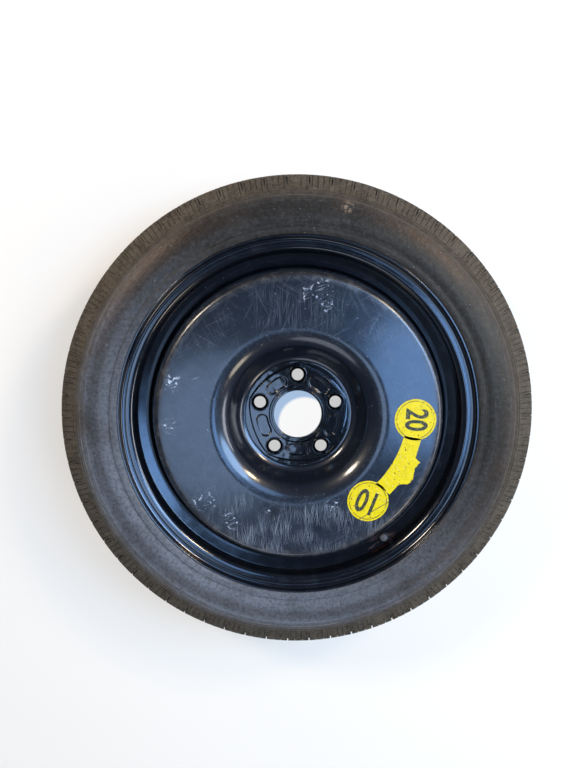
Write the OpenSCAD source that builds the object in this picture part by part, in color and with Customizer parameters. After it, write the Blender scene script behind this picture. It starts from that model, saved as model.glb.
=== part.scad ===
// Temporary spare wheel: a narrow tyre on a rolled steel rim with a pressed steel disc
// The wheel lies with its outboard face up, and Z runs along its axis
// The origin is the centre of the face that meets the hub
// Profiles are lists of [radius, height, bend radius], and heights in the rim and the tyre
// are counted from the plane halfway between the two flanges

/* [Rim] */
// Radius of the bead seats at the flange wall
seat_r = 218.3; // [206:0.1:230]
// Width between the two flange walls
rim_w = 101.6; // [96:0.1:115]
// Height of the flange above the bead seat
flange_h = 17.3; // [15:0.1:20]
// Reach of the flange's lip past its wall
lip_w = 10.2; // [9.8:0.1:13]
// Drop of the lip's edge below the flange's top
lip_drop = 0.8; // [0.2:0.1:1.2]
// Radius of the curl between the flange wall and its lip
curl_r = 8.5; // [6:0.1:8.8]
// Radius of the bend between the flange wall and the bead seat
heel_r = 6.5; // [5:0.1:8]
// Sheet thickness of the rim
rim_t = 2.5; // [2:0.1:3]
// Distance from the flange wall to the low end of the bead seat
seat_w = 14.8; // [13:0.1:16]
// Fall of the bead seat over its width
seat_drop = 1.8; // [1:0.1:2.2]
// Distance from the flange wall to the top of the hump
hump_w = 20.3; // [19.5:0.1:22]
// Height of the hump above the bead seat
hump_h = 0.8; // [0.4:0.1:1.2]
// Bend radius at the hump
hump_r = 4; // [3.5:0.1:5]
// Depth of the drop well below the bead seat
well_h = 18.8; // [17.5:0.1:21]
// Bend radius at the foot of the well
well_r = 6; // [4:0.1:7]
// Tilt of the ledge that carries the valve
ledge_tilt = 22; // [18:0.5:26]

/* [Disc] */
// Height of the outboard lip plane above the hub face
lip_z = 44; // [40:0.5:52]
// Sheet thickness of the disc
disc_t = 3.5; // [3:0.1:4.2]
// Depth of the flat ring below the lip plane
ring_depth = 3; // [2:0.1:6]
// Distance from the skirt in to the crown's corner
crown_in = 9.4; // [8:0.1:12]
// Bend radius at the crown
crown_bend = 8; // [6:0.1:10]
// Height of the skirt's shoulder below the lip plane
shoulder_depth = 33; // [28:0.5:36]
// Bend radius at the skirt's shoulder
shoulder_bend = 10; // [8:0.5:12]
// Length of the straight skirt that is pressed into the well
skirt_len = 20; // [16:0.5:24]
// Radius where the bowl's wall meets the flat ring
bowl_top_r = 101; // [96:0.5:108]
// Bend radius at the top of the bowl
bowl_top_bend = 20; // [16:0.5:26]
// Radius where the bowl's wall meets its floor
bowl_foot_r = 77; // [75:0.5:82]
// Bend radius at the foot of the bowl
bowl_foot_bend = 12; // [9:0.5:13]

/* [Hub pad] */
// Radius of the hub bore
bore_r = 32.55; // [30:0.05:34]
// Wall of the collar round the bore
collar_t = 3.2; // [2.5:0.1:3.6]
// Height of the collar above the floor
collar_h = 4; // [3:0.1:6]
// Height of the raised pad above the floor
pad_h = 2.5; // [2:0.1:3]
// Radius of the pad's foot at its corners
pad_r = 70; // [69:0.1:70.2]
// Distance of the foot of the pad's sides from the axis
pad_side = 64.5; // [63.5:0.1:66]
// Radius of the pad's bulged sides
pad_bulge = 115; // [105:1:125]
// Slope of the pad's edge, in along the floor
pad_slope = 2; // [1:0.1:3]
// Inner radius of the pad
pad_in_r = 38.5; // [38:0.1:39]

/* [Studs] */
// Number of stud holes
studs = 5; // [5:1:5]
// Diameter of the stud circle
stud_pcd = 108; // [106:0.1:110]
// Radius of a stud hole
stud_r = 8; // [7:0.1:8.5]
// Radius of the nut seat at its mouth
nut_r = 11.5; // [11:0.1:11.8]
// Depth of the nut seat's cone
nut_depth = 4.5; // [3.5:0.1:5]
// Wall of the boss round the nut seat at its top
boss_t = 0.8; // [0.6:0.1:1]
// Height of the boss above the pad
boss_h = 1.6; // [1:0.1:2.5]
// Spread of the boss at its foot
boss_spread = 1.5; // [1:0.1:1.6]
// Depth of the recess round each stud hole in the hub face
relief_h = 1.2; // [0.8:0.1:1.6]
// Radius of that recess
relief_r = 12.8; // [12:0.1:14]

/* [Pockets] */
// Radius of the circle that the pockets follow
pocket_r = 49; // [48.5:0.5:50]
// Half of a pocket's width at its floor
pocket_half = 6.5; // [5:0.1:7]
// Half of the angle between the centres of a pocket's round ends
pocket_angle = 9; // [6:0.5:10]
// Slope of a pocket's wall, out along the pad
pocket_slope = 1.8; // [1:0.1:2]

// Height of a pocket's floor above the bowl's floor
pocket_floor = 0.4; // [0.2:0.1:1]

/* [Welds] */
// Number of weld runs between the skirt and the well
welds = 8; // [6:1:10]
// Angle that one weld run spans
weld_angle = 26; // [15:1:30]
// Leg of the weld's section
weld_leg = 3.2; // [2.5:0.1:4]

/* [Tyre] */
// Outer radius of the tyre
tyre_r = 315.9; // [312:0.1:322]
// Width of the tyre across its sidewalls
section_w = 127; // [124:0.5:132]
// Height of the bead ring above the flange
bead_ring_h = 8.4; // [7:0.1:10]
// Height of the widest point above the flange
belly_h = 26.4; // [24:0.1:28]
// Depth of the sidewall's ridge below the tread
ridge_depth = 38.4; // [36:0.1:40]
// Least height of the plain wall between the widest point and the ridge
plain_wall = 12; // [8:0.5:13]
// Set-back of the ridge from the widest point
ridge_in = 2.5; // [1.5:0.1:4]
// Half of the tread's width at the shoulder corner
tread_half = 45.5; // [43:0.1:48]
// Drop of the shoulder corner below the tread's middle
shoulder_drop = 4.4; // [3.5:0.1:6]
// Rounding of the shoulder corner
shoulder_r = 10; // [6:0.5:12]
// Radius of the tread's crown, seen in section
crown_radius = 420; // [350:10:600]
// Depth of the tread grooves
groove_depth = 4.5; // [3:0.1:6]
// Half of a groove's width at the tread
groove_half = 3; // [2:0.1:4]
// Distance of the side grooves from the middle
groove_side = 19.5; // [17:0.5:22]
// Thickness of the tread to the air space
tread_t = 13.4; // [11:0.1:15]
// Thickness of the sidewall at its widest
wall_t = 6.7; // [5.5:0.1:8]
// Height of the mould lines on the sidewall
mould_line_h = 0.6; // [0.3:0.1:1]
// Depth of the upper mould line below the tread
mould_line_1 = 25; // [23:0.1:26]
// Depth of the lower mould line below the tread
mould_line_2 = 28.5; // [27:0.1:31]
// Number of notches round each shoulder
notches = 66; // [60:1:72]
// Width of a notch
notch_w = 1.8; // [1.2:0.1:2.5]
// Depth of a notch at the shoulder corner
notch_depth = 2.8; // [2:0.1:4]
// Reach of a notch down the side
notch_side = 15; // [12:0.5:17]
// Reach of a notch into the tread
notch_tread = 14; // [10:0.5:16]

/* [Valve] */
// Angle of the valve round the wheel
valve_angle = 305; // [0:0.5:359.5]
// Distance of the valve hole down the ledge from the hump
valve_down = 10.6; // [10.4:0.1:10.8]
// Radius of the valve hole
valve_hole_r = 5.65; // [5.4:0.05:5.8]
// Radius of the rubber body's collar on the ledge
valve_collar_r = 6.5; // [6.2:0.1:6.6]
// Radius of the rubber body's button inside the tyre
valve_button_r = 8.4; // [8:0.1:8.6]
// Thickness of the button
valve_button_h = 3.6; // [3:0.1:4.5]
// Radius of the rubber body's neck
valve_neck_r = 5.1; // [4.8:0.1:5.6]
// Height of the rubber body above the ledge
valve_rubber_h = 20.3; // [19:0.1:21]
// Height of the brass stem above the ledge
stem_h = 31; // [30:0.1:33]
// Radius of the stem inside the rubber
stem_r = 3; // [2.9:0.05:3.2]
// Radius of the stem's threaded end
stem_thread_r = 3.85; // [3.7:0.05:3.9]
// Length of the stem's threaded end
stem_thread_len = 10.2; // [9.5:0.1:10.4]
// Radius of the stem's bore at the core's thread
core_bore_r = 2.55; // [2.5:0.05:2.6]
// Radius of the stem's bore below the core's seat
air_bore_r = 1.9; // [1.8:0.05:2]
// Outer radius of the cap
cap_r = 4.9; // [4.7:0.1:5.3]
// Thickness of the cap's top
cap_top = 1.6; // [1.2:0.1:2]
// Number of grip flutes round the cap
flutes = 14; // [10:1:18]

/* [Valve core] */
// Depth of the core's head below the stem's top
core_sunk = 0.6; // [0.4:0.1:1]
// Depth of the pin's tip below the stem's top
pin_sunk = 0.3; // [0.1:0.1:0.5]
// Length of the threaded plug
plug_len = 6.4; // [6:0.1:7]
// Length of the groove for the gasket
gasket_len = 1.9; // [1.6:0.1:2.2]
// Length of the barrel below the gasket
barrel_len = 2.7; // [2.4:0.1:3.2]
// Thickness of the barrel's floor, on which the spring stands
barrel_floor = 0.9; // [0.7:0.1:1.1]
// Radius of the pin
pin_r = 0.45; // [0.4:0.01:0.47]
// Radius of the barrel
barrel_r = 1.65; // [1.6:0.01:1.7]
// Radius of the waist that carries the gasket
waist_r = 1.35; // [1.3:0.01:1.4]
// Radius of the gasket
gasket_r = 1.75; // [1.7:0.01:1.85]
// Radius of the bore that holds the spring
spring_bore_r = 1.05; // [1:0.01:1.1]
// Depth of the spring's top below the core's head
spring_below = 3.3; // [3.2:0.1:3.6]
// Radius of the pin's cup and its washer
cup_r = 1.4; // [1.3:0.01:1.5]
// Height of the cup
cup_t = 1.4; // [1.2:0.1:1.8]
// Thickness of the washer
washer_t = 0.5; // [0.4:0.05:0.6]

/* [Label] */
// Thickness of the label film
label_t = 0.3; // [0.2:0.05:0.5]
// Radius of the label's round ends
label_end_r = 27.3; // [24:0.1:28]
// Distance of the first round end in from the crown's corner
label_first_in = 34.9; // [34.5:0.1:37]
// Distance of the second round end in from the crown's corner
label_second_in = 43.6; // [38:0.1:45]
// Angle of the first round end
label_first = -1.1; // [-6:0.1:4]
// Angle of the second round end
label_second = -50.5; // [-55:0.1:-48]
// Distance of the strap's inner edge in from the line between the ends
label_strap_in = 11; // [8:0.5:14]
// Distance of the strap's outer edge out from that line
label_strap_out = 12; // [8:0.5:14]
// Reach of the torn tab past the strap's outer edge
label_tab = 12; // [8:0.5:14]

/* [Fits] */
// Gap between the tyre and the rim, and between the rubber and the rim
seat_fit = 0.1; // [0.05:0.05:0.3]
// Gap between the disc's skirt and the well
press_fit = 0.1; // [0.05:0.05:0.2]
// Gap between the cap and the stem
cap_fit = 0.25; // [0.2:0.05:0.4]
// Gap between the core's pin and its hole
pin_fit = 0.1; // [0.05:0.01:0.1]
// Gap between the core's plug and the stem's bore
core_fit = 0.05; // [0.03:0.01:0.06]
// Gap between the washer and the barrel
washer_fit = 0.05; // [0.02:0.01:0.06]
// Gap at each end of the gasket
gasket_gap = 0.15; // [0.1:0.05:0.3]

/* [Hidden] */
fine = 180;
small = 48;
arc_step = 12;
over = 1;

rim_mid_z = lip_z - lip_w - rim_w / 2;
wall_u = rim_w / 2;
flange_r = seat_r + flange_h;
well_outer_r = seat_r - well_h;
hump_top_r = seat_r + hump_h;
well_u = wall_u - hump_w - (hump_top_r - well_outer_r) * tan(ledge_tilt);
skirt_r = well_outer_r - rim_t - press_fit;
crown_r = skirt_r - crown_in;
ring_z = lip_z - ring_depth;
skirt_z = lip_z - shoulder_depth;
skirt_end_z = skirt_z - skirt_len;
stud_circle_r = stud_pcd / 2;
pad_z = disc_t + pad_h;
boss_z = pad_z + boss_h;

// Plane vectors: unit length, without the bend radius, turned right, turned by an angle
function unit(v) = v / norm(v);
function flat(p) = [p.x, p.y];
function right_of(v) = [v.y, -v.x];
function turned_by(v, a) = [v.x * cos(a) - v.y * sin(a), v.x * sin(a) + v.y * cos(a)];

// Angle by which a path turns at its corner b, on its way from a to c
function turn_at(a, b, c) = acos(max(-1, min(1, unit(b - a) * unit(c - b))));

// Points of the arc that rounds the corner b between a and c
function corner_arc(a, b, c, r) =
    let (
        d_in = unit(b - a),
        d_out = unit(c - b),
        side = cross(d_in, d_out) > 0 ? 1 : -1,
        turn = turn_at(a, b, c),
        start = b - d_in * r * tan(turn / 2),
        to_centre = -side * right_of(d_in) * r,
        steps = max(1, ceil(turn / arc_step))
    )
    [for (k = [0 : steps]) start + to_centre + turned_by(-to_centre, side * turn * k / steps)];

// Whether corner i of a path has a bend: its two ends, and corners without a radius, stay sharp
function is_bent(path, i) = i > 0 && i < len(path) - 1 && len(path[i]) > 2;

// Length that the bend of corner i takes up on each side of the corner
function bend_len(path, i) =
    is_bent(path, i) ? path[i].z * tan(turn_at(flat(path[i - 1]), flat(path[i]), flat(path[i + 1])) / 2) : 0;

// Share of its bends' lengths that the stretch after corner i has room for
function bend_room(path, i) =
    let (wanted = bend_len(path, i) + bend_len(path, i + 1))
    wanted > 0 ? min(1, norm(flat(path[i + 1]) - flat(path[i])) / wanted) : 1;

// Path with its corners bent, each as tightly as the stretches beside it ask for
function bent(path) =
    [for (i = [0 : len(path) - 1]) each
        is_bent(path, i)
        ? corner_arc(
            flat(path[i - 1]), flat(path[i]), flat(path[i + 1]),
            path[i].z * min(bend_room(path, i - 1), bend_room(path, i))
        )
        : [flat(path[i])]];

// Direction in which point i of a path is moved to thicken it by one unit on its right
function mitre(p, i) =
    let (
        last = len(p) - 1,
        n_in = right_of(unit(p[max(i, 1)] - p[max(i, 1) - 1])),
        n_out = right_of(unit(p[min(i, last - 1) + 1] - p[min(i, last - 1)])),
        m = unit(n_in + n_out)
    )
    m / (m * n_in);

function backwards(list) = [for (i = [len(list) - 1 : -1 : 0]) list[i]];
function mirrored(path) = [for (p = backwards(path)) [for (k = [0 : len(p) - 1]) k == 1 ? -p[k] : p[k]]];

// Outline of a sheet that has the path as one face and lies on the path's right
function sheet(path, t) =
    let (face = bent(path))
    concat(face, backwards([for (i = [0 : len(face) - 1]) face[i] + t * mitre(face, i)]));

// Rim section from the outboard lip down to the well's foot, along the face that meets the tyre
rim_half = [
    [flange_r - lip_drop, wall_u + lip_w],
    [flange_r, wall_u, curl_r],
    [seat_r, wall_u, heel_r],
    [seat_r - seat_drop, wall_u - seat_w, hump_r],
    [hump_top_r, wall_u - hump_w, hump_r],
    [well_outer_r, well_u, well_r]
];

// Disc section from the bore out to the skirt's end, along the outboard face
disc_path = [
    [bore_r, disc_t],
    [bowl_foot_r, disc_t, bowl_foot_bend],
    [bowl_top_r, ring_z, bowl_top_bend],
    [crown_r, ring_z, crown_bend],
    [skirt_r, skirt_z, shoulder_bend],
    [skirt_r, skirt_end_z]
];

// On a lower tyre all that stands up the wall comes down by the same share
wall_share = min(1, (tyre_r - flange_r) / (belly_h + ridge_depth + plain_wall));

// Height of the tread's surface and of the sloped shoulder, both from the section's middle
function crown(u) = tyre_r - u * u / (2 * crown_radius);
ridge_r = tyre_r - wall_share * ridge_depth;
ridge_u = section_w / 2 - ridge_in;
corner_r = tyre_r - wall_share * shoulder_drop;
function slope_u(r) = ridge_u + (tread_half - ridge_u) * (r - ridge_r) / (corner_r - ridge_r);

// A mould line is a small ridge on the sloped shoulder
mould_half = mould_line_h;
function mould_line(r) = [
    [r - mould_half, slope_u(r - mould_half)],
    [r, slope_u(r) + mould_line_h],
    [r + mould_half, slope_u(r + mould_half)]
];

// A tread groove narrows towards its floor
groove_draft = 0.8;
groove_h = wall_share * groove_depth;
function groove(u) = [
    [crown(u + groove_half), u + groove_half],
    [crown(u + groove_half) - groove_h, u + groove_half - groove_draft],
    [crown(u - groove_half) - groove_h, u - groove_half + groove_draft],
    [crown(u - groove_half), u - groove_half]
];

// The bead ring stands a little proud of the sidewall, just outside the rim's lip
ring_step = 0.9;
ring_edge = 1;
ring_proud = 1.5;
bead_ring_r = flange_r + wall_share * bead_ring_h;
bead_ring_u = wall_u + lip_w + ring_proud;
belly_r = flange_r + wall_share * belly_h;
belly_bend = 50;

// The bead's toe ends short of the hump's bend
toe_back = 1.3;
toe_r = seat_r - seat_drop * (1 - toe_back / seat_w) + seat_fit;
toe_u = wall_u - seat_w + toe_back;

// Tyre section from the outboard bead's toe to the edge of the middle groove
tyre_half = concat(
    [
        [toe_r, toe_u],
        [seat_r + seat_fit, wall_u - seat_fit, heel_r - seat_fit],
        [flange_r + seat_fit, wall_u - seat_fit, curl_r + seat_fit],
        [flange_r - lip_drop + seat_fit, wall_u + lip_w],
        [flange_r + seat_fit + ring_edge, bead_ring_u],
        [bead_ring_r, bead_ring_u + ring_edge / 2, ring_edge],
        [bead_ring_r + ring_edge, bead_ring_u - ring_step],
        [belly_r, section_w / 2, belly_bend],
        [ridge_r, ridge_u]
    ],
    mould_line(tyre_r - wall_share * mould_line_2),
    mould_line(tyre_r - wall_share * mould_line_1),
    [[corner_r, tread_half, shoulder_r]],
    groove(groove_side),
    [
        [crown(groove_half), groove_half],
        [crown(groove_half) - groove_h, groove_half - groove_draft]
    ]
);

// Air space from the outboard bead's toe to the section's middle; the bead is thickest round its wires
toe_t = 4.4;
toe_in = 1;
bead_below = 4.3;
bead_w = 12.4;
bead_bend = 8;
apex_above = 8.7;
apex_in = 11.5;
apex_bend = 12;
cavity_bend = 30;
shoulder_t = 22;
shoulder_in = 2;
shoulder_bend_in = 14;
belt_in = 19;
belt_bend = 20;
cavity_half = [
    [toe_r + toe_t, toe_u - toe_in],
    [flange_r - bead_below, wall_u - bead_w, bead_bend],
    [flange_r + wall_share * apex_above, bead_ring_u - apex_in, apex_bend],
    [belly_r, section_w / 2 - wall_t, cavity_bend],
    [tyre_r - wall_share * shoulder_t, tread_half - shoulder_in, shoulder_bend_in],
    [tyre_r - wall_share * tread_t, tread_half - belt_in, belt_bend]
];

module revolved(points) rotate_extrude($fn = fine) polygon(points);
module turned(points) rotate_extrude($fn = small) polygon(points);

// One notch is a wedge across the shoulder corner, in the plane of the section
module notch() {
    notch_foot = corner_r - wall_share * notch_side;
    notch_in = wall_share * notch_depth;
    translate([0, notch_w / 2, 0])
    rotate([90, 0, 0])
    linear_extrude(notch_w)
    polygon([
        [notch_foot, slope_u(notch_foot)],
        [corner_r - notch_in, tread_half - notch_in],
        [crown(tread_half - notch_tread), tread_half - notch_tread],
        [tyre_r + over, tread_half - notch_tread],
        [tyre_r + over, section_w / 2],
        [notch_foot, section_w / 2]
    ]);
}

module tyre() {
    pitch = 360 / notches;
    color("#3a3b3d")
    translate([0, 0, rim_mid_z])
    difference() {
        revolved(concat(
            bent(concat(tyre_half, mirrored(tyre_half))),
            backwards(bent(concat(cavity_half, mirrored(cavity_half))))
        ));
        for (i = [0 : notches - 1]) {
            rotate([0, 0, i * pitch]) notch();
            rotate([0, 0, (i + 0.5) * pitch]) mirror([0, 0, 1]) notch();
        }
    }
}

// Point on the ledge's outboard face where the valve stands, in the rim's section
ledge_dir = [-cos(ledge_tilt), -sin(ledge_tilt)];
ledge_out = [-sin(ledge_tilt), cos(ledge_tilt)];
valve_foot = [hump_top_r, wall_u - hump_w] + valve_down * ledge_dir + rim_t * ledge_out;

// Puts a piece of the valve in place: its own Z runs out of the ledge, and zero is the ledge's face
module at_valve() {
    rotate([0, 0, valve_angle])
    translate([valve_foot.x, 0, rim_mid_z + valve_foot.y])
    rotate([0, -ledge_tilt, 0])
    children();
}

module rim() {
    color("#1b2230")
    difference() {
        translate([0, 0, rim_mid_z]) revolved(sheet(concat(rim_half, mirrored(rim_half)), rim_t));
        at_valve()
            translate([0, 0, -rim_t - over])
            cylinder(r = valve_hole_r, h = rim_t + 2 * over, $fn = small);
    }
}

module round_studs(first = 90) {
    for (i = [0 : studs - 1]) rotate([0, 0, first + i * 360 / studs]) children();
}

// Five-sided pad with bulged sides, round corners and a sloped edge
module pad_shape() {
    h = disc_t / 2 + pad_h;
    intersection() {
        cylinder(r1 = pad_r, r2 = pad_r - pad_slope, h = h, $fn = fine);
        pad_sides(h, studs - 1);
    }
}

// Side i of the pad, met with every side before it
module pad_sides(h, i) {
    intersection() {
        rotate([0, 0, 90 + (i + 0.5) * 360 / studs])
        translate([pad_side - pad_bulge, 0, 0])
        cylinder(r1 = pad_bulge, r2 = pad_bulge - pad_slope, h = h, $fn = fine);
        if (i > 0) pad_sides(h, i - 1);
        else cylinder(r = 2 * pad_r, h = h, $fn = fine);
    }
}

// Arc-shaped plug with round ends and sloped walls, which widens upwards by lean
module pocket_shape(half, h, lean) {
    rotate([0, 0, -pocket_angle])
    rotate_extrude(angle = 2 * pocket_angle, $fn = fine)
    polygon([
        [pocket_r - half, 0],
        [pocket_r + half, 0],
        [pocket_r + half + lean, h],
        [pocket_r - half - lean, h]
    ]);
    for (a = [-pocket_angle, pocket_angle])
        rotate([0, 0, a])
        translate([pocket_r, 0, 0])
        cylinder(r1 = half, r2 = half + lean, h = h, $fn = small);
}

// Boss round a stud hole, a cone that is drawn up out of the floor and so starts inside it
module stud_boss() {
    top_r = nut_r + boss_t;
    cone_h = boss_z - disc_t / 2;
    translate([stud_circle_r, 0, disc_t / 2])
    cylinder(r1 = top_r + boss_spread * cone_h / (boss_z - disc_t), r2 = top_r, h = cone_h, $fn = small);
}

// Stud hole with the cone that the nut sits in, and the recess on the hub side
module stud_hole() {
    translate([stud_circle_r, 0, 0]) {
        translate([0, 0, -over]) cylinder(r = stud_r, h = boss_z + 2 * over, $fn = small);
        translate([0, 0, boss_z - nut_depth]) cylinder(r1 = stud_r, r2 = nut_r, h = nut_depth, $fn = small);
        translate([0, 0, boss_z]) cylinder(r = nut_r, h = over, $fn = small);
        translate([0, 0, -over]) cylinder(r = relief_r, h = relief_h + over, $fn = small);
    }
}

module disc() {
    color("#222a38")
    difference() {
        union() {
            revolved(sheet(disc_path, disc_t));
            difference() {
                translate([0, 0, disc_t / 2]) pad_shape();
                cylinder(r = pad_in_r, h = pad_z + over, $fn = fine);
            }
            cylinder(r = bore_r + collar_t, h = disc_t + collar_h, $fn = fine);
            round_studs() stud_boss();
        }
        translate([0, 0, -over]) cylinder(r = bore_r, h = disc_t + collar_h + 2 * over, $fn = fine);
        round_studs(90 + 180 / studs)
            translate([0, 0, disc_t + pocket_floor])
            pocket_shape(pocket_half, pad_h + over, pocket_slope * (pad_h + over) / pad_h);
        round_studs() stud_hole();
    }
}

// The weld's flank stands off the well by a hair, so the two solids stay apart
weld_fit = 0.02;
module disc_welds() {
    color("#15181f")
    for (i = [0 : welds - 1])
        rotate([0, 0, (i + 0.5) * 360 / welds - weld_angle / 2])
        rotate_extrude(angle = weld_angle, $fn = fine)
        polygon([
            [skirt_r - weld_leg, skirt_end_z],
            [skirt_r + press_fit - weld_fit, skirt_end_z],
            [skirt_r + press_fit - weld_fit, skirt_end_z - weld_leg]
        ]);
}

// Point at an angle and at a distance out from the line that joins the label's ends
function label_point(a, out) =
    let (
        along = (a - label_first) / (label_second - label_first),
        r = crown_r - label_first_in - (label_second_in - label_first_in) * along + out
    )
    r * [cos(a), sin(a)];

// Tear line of the tab: angle, and reach as a share of the tab
tear = [
    [-19.3, 0.1],
    [-20.6, 0.8],
    [-23.9, 0.55],
    [-26.6, 0.75],
    [-28.8, 1],
    [-31.6, 0.85],
    [-32.9, 0.3],
    [-34.7, 0]
];

// Film label: two round ends, a strap between them and a torn tab on its outer edge
module label() {
    arc = 4;
    steps = ceil((label_first - label_second) / arc);
    angles = [for (i = [0 : steps]) label_first + (label_second - label_first) * i / steps];
    edge = concat(
        [for (a = angles) if (a > tear[0].x) [a, 0]],
        tear,
        [for (a = angles) if (a < tear[len(tear) - 1].x) [a, 0]]
    );
    color("#f2e400")
    translate([0, 0, ring_z])
    union() {
        translate(label_point(label_first, 0)) cylinder(r = label_end_r, h = label_t, $fn = fine);
        translate(label_point(label_second, 0)) cylinder(r = label_end_r, h = label_t, $fn = fine);
        linear_extrude(label_t)
        polygon(concat(
            [for (e = edge) label_point(e.x, label_strap_out + e.y * label_tab)],
            [for (a = backwards(angles)) label_point(a, -label_strap_in)]
        ));
    }
}

// Heights along the valve, from the ledge's outboard face
button_top = -rim_t - seat_fit;
button_foot = button_top - valve_button_h;
thread_foot = stem_h - stem_thread_len;
core_top = stem_h - core_sunk;
plug_foot = core_top - plug_len;
gasket_foot = plug_foot - gasket_len;
barrel_foot = gasket_foot - barrel_len;
spring_floor = barrel_foot + barrel_floor;
spring_top = core_top - spring_below;
pin_top = stem_h - pin_sunk;
cup_top = barrel_foot - washer_t - washer_fit;

// The rubber body tapers from its collar to its neck, with a small step at the button
module valve_body() {
    in_hole_r = valve_hole_r - seat_fit;
    button_edge = 1.2;
    collar_len = 2.6;
    taper_len = 9.5;
    neck_swell = 0.4;
    tip_edge = 1.4;
    tip_in = 0.9;
    color("#1c1c1d")
    at_valve()
    turned([
        [stem_r, button_foot],
        [valve_button_r - button_edge, button_foot],
        [valve_button_r, button_foot + button_edge],
        [valve_button_r, button_top - button_edge],
        [valve_collar_r, button_top],
        [in_hole_r, button_top],
        [in_hole_r, seat_fit],
        [valve_collar_r, seat_fit],
        [valve_collar_r, collar_len],
        [valve_neck_r + neck_swell, taper_len],
        [valve_neck_r, valve_rubber_h - tip_edge],
        [valve_neck_r - tip_in, valve_rubber_h],
        [stem_r, valve_rubber_h]
    ]);
}

module valve_stem() {
    edge = 0.4;
    seat_slope = 1.2;
    color("#b08d3c")
    at_valve()
    turned([
        [air_bore_r, button_foot],
        [stem_r, button_foot],
        [stem_r, thread_foot],
        [stem_thread_r - edge, thread_foot],
        [stem_thread_r, thread_foot + edge],
        [stem_thread_r, stem_h - edge],
        [stem_thread_r - edge, stem_h],
        [core_bore_r + edge, stem_h],
        [core_bore_r, stem_h - edge],
        [core_bore_r, plug_foot],
        [air_bore_r, plug_foot - seat_slope]
    ]);
}

// Threaded plug with two flats at its head, and the barrel below it that holds the spring
module core_plug() {
    head_h = 2;
    head_half = 2;
    roof_t = 2.6;
    plug_edge = 0.5;
    plug_r = core_bore_r - core_fit;
    color("#c2a04a")
    at_valve()
    difference() {
        turned([
            [pin_r + pin_fit, core_top],
            [plug_r, core_top],
            [plug_r, plug_foot + plug_edge],
            [waist_r, plug_foot],
            [waist_r, gasket_foot],
            [barrel_r, gasket_foot],
            [barrel_r, barrel_foot],
            [pin_r + pin_fit, barrel_foot],
            [pin_r + pin_fit, spring_floor],
            [spring_bore_r, spring_floor],
            [spring_bore_r, core_top - roof_t],
            [pin_r + pin_fit, core_top - roof_t]
        ]);
        for (s = [-1, 1])
            translate([s * (head_half + core_bore_r), 0, core_top - head_h / 2 + over / 2])
            cube([2 * core_bore_r, 2 * core_bore_r, head_h + over], center = true);
    }
}

module core_gasket() {
    color("#e8e4da")
    at_valve()
    turned([
        [waist_r, plug_foot - gasket_gap],
        [gasket_r, plug_foot - gasket_gap],
        [gasket_r, gasket_foot + gasket_gap],
        [waist_r, gasket_foot + gasket_gap]
    ]);
}

// Plunger with its cup below and the collar that the spring pushes up
module core_pin() {
    collar_r = 0.85;
    collar_len = 0.5;
    cup_edge = 0.4;
    tip_edge = 0.15;
    color("#c2a04a")
    at_valve()
    turned([
        [0, cup_top - cup_t],
        [cup_r - cup_edge, cup_top - cup_t],
        [cup_r, cup_top - cup_t + cup_edge],
        [cup_r, cup_top],
        [pin_r, cup_top],
        [pin_r, spring_top],
        [collar_r, spring_top],
        [collar_r, spring_top + collar_len],
        [pin_r, spring_top + collar_len],
        [pin_r, pin_top - tip_edge],
        [pin_r - tip_edge, pin_top],
        [0, pin_top]
    ]);
}

module core_washer() {
    on_pin = 0.01;
    color("#202022")
    at_valve()
    translate([0, 0, cup_top])
    difference() {
        cylinder(r = cup_r, h = washer_t, $fn = small);
        translate([0, 0, -over]) cylinder(r = pin_r + on_pin, h = washer_t + 2 * over, $fn = small);
    }
}

// Coil spring between the barrel's floor and the pin's collar, as one swept tube
module core_spring() {
    wire_r = 0.12;
    coil_r = 0.72;
    end_gap = 0.02;
    turns = 7;
    per_turn = 12;
    sides = 6;
    low = spring_floor + wire_r + end_gap;
    rise = spring_top - wire_r - end_gap - low;
    rings = turns * per_turn;
    points = [
        for (i = [0 : rings]) for (k = [0 : sides - 1])
            let (
                a = 360 * i / per_turn,
                r = coil_r + wire_r * cos(360 * k / sides)
            )
            [r * cos(a), r * sin(a), low + rise * i / rings + wire_r * sin(360 * k / sides)]
    ];
    walls = [
        for (i = [0 : rings - 1]) for (k = [0 : sides - 1])
            let (n = (k + 1) % sides)
            each [
                [i * sides + k, i * sides + n, (i + 1) * sides + n],
                [i * sides + k, (i + 1) * sides + n, (i + 1) * sides + k]
            ]
    ];
    ends = [[for (k = [sides - 1 : -1 : 0]) k], [for (k = [0 : sides - 1]) rings * sides + k]];
    color("silver") at_valve() polyhedron(points, concat(walls, ends));
}

// Cap with a domed top and grip flutes, screwed on until it nearly meets the rubber
module valve_cap() {
    inside_r = stem_thread_r + cap_fit;
    foot_gap = 0.2;
    air_gap = 0.3;
    foot = thread_foot + foot_gap;
    ceiling = stem_h + air_gap;
    top = ceiling + cap_top;
    dome = [1.3, 0.4];
    flute_r = 0.45;
    flute_out = 0.1;
    flute_end = 1.6;
    color("#8d8f90")
    at_valve()
    difference() {
        turned([
            [inside_r, foot],
            [cap_r, foot],
            [cap_r, top - dome.x],
            [cap_r - dome.y, top - dome.y],
            [cap_r - dome.x, top],
            [0, top],
            [0, ceiling],
            [inside_r, ceiling]
        ]);
        for (i = [0 : flutes - 1])
            rotate([0, 0, i * 360 / flutes])
            translate([cap_r + flute_out, 0, foot - over])
            cylinder(r = flute_r, h = top - flute_end - foot + over, $fn = 16);
    }
}

tyre();
rim();
disc();
disc_welds();
label();
valve_body();
valve_stem();
core_plug();
core_gasket();
core_pin();
core_washer();
core_spring();
valve_cap();
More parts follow.
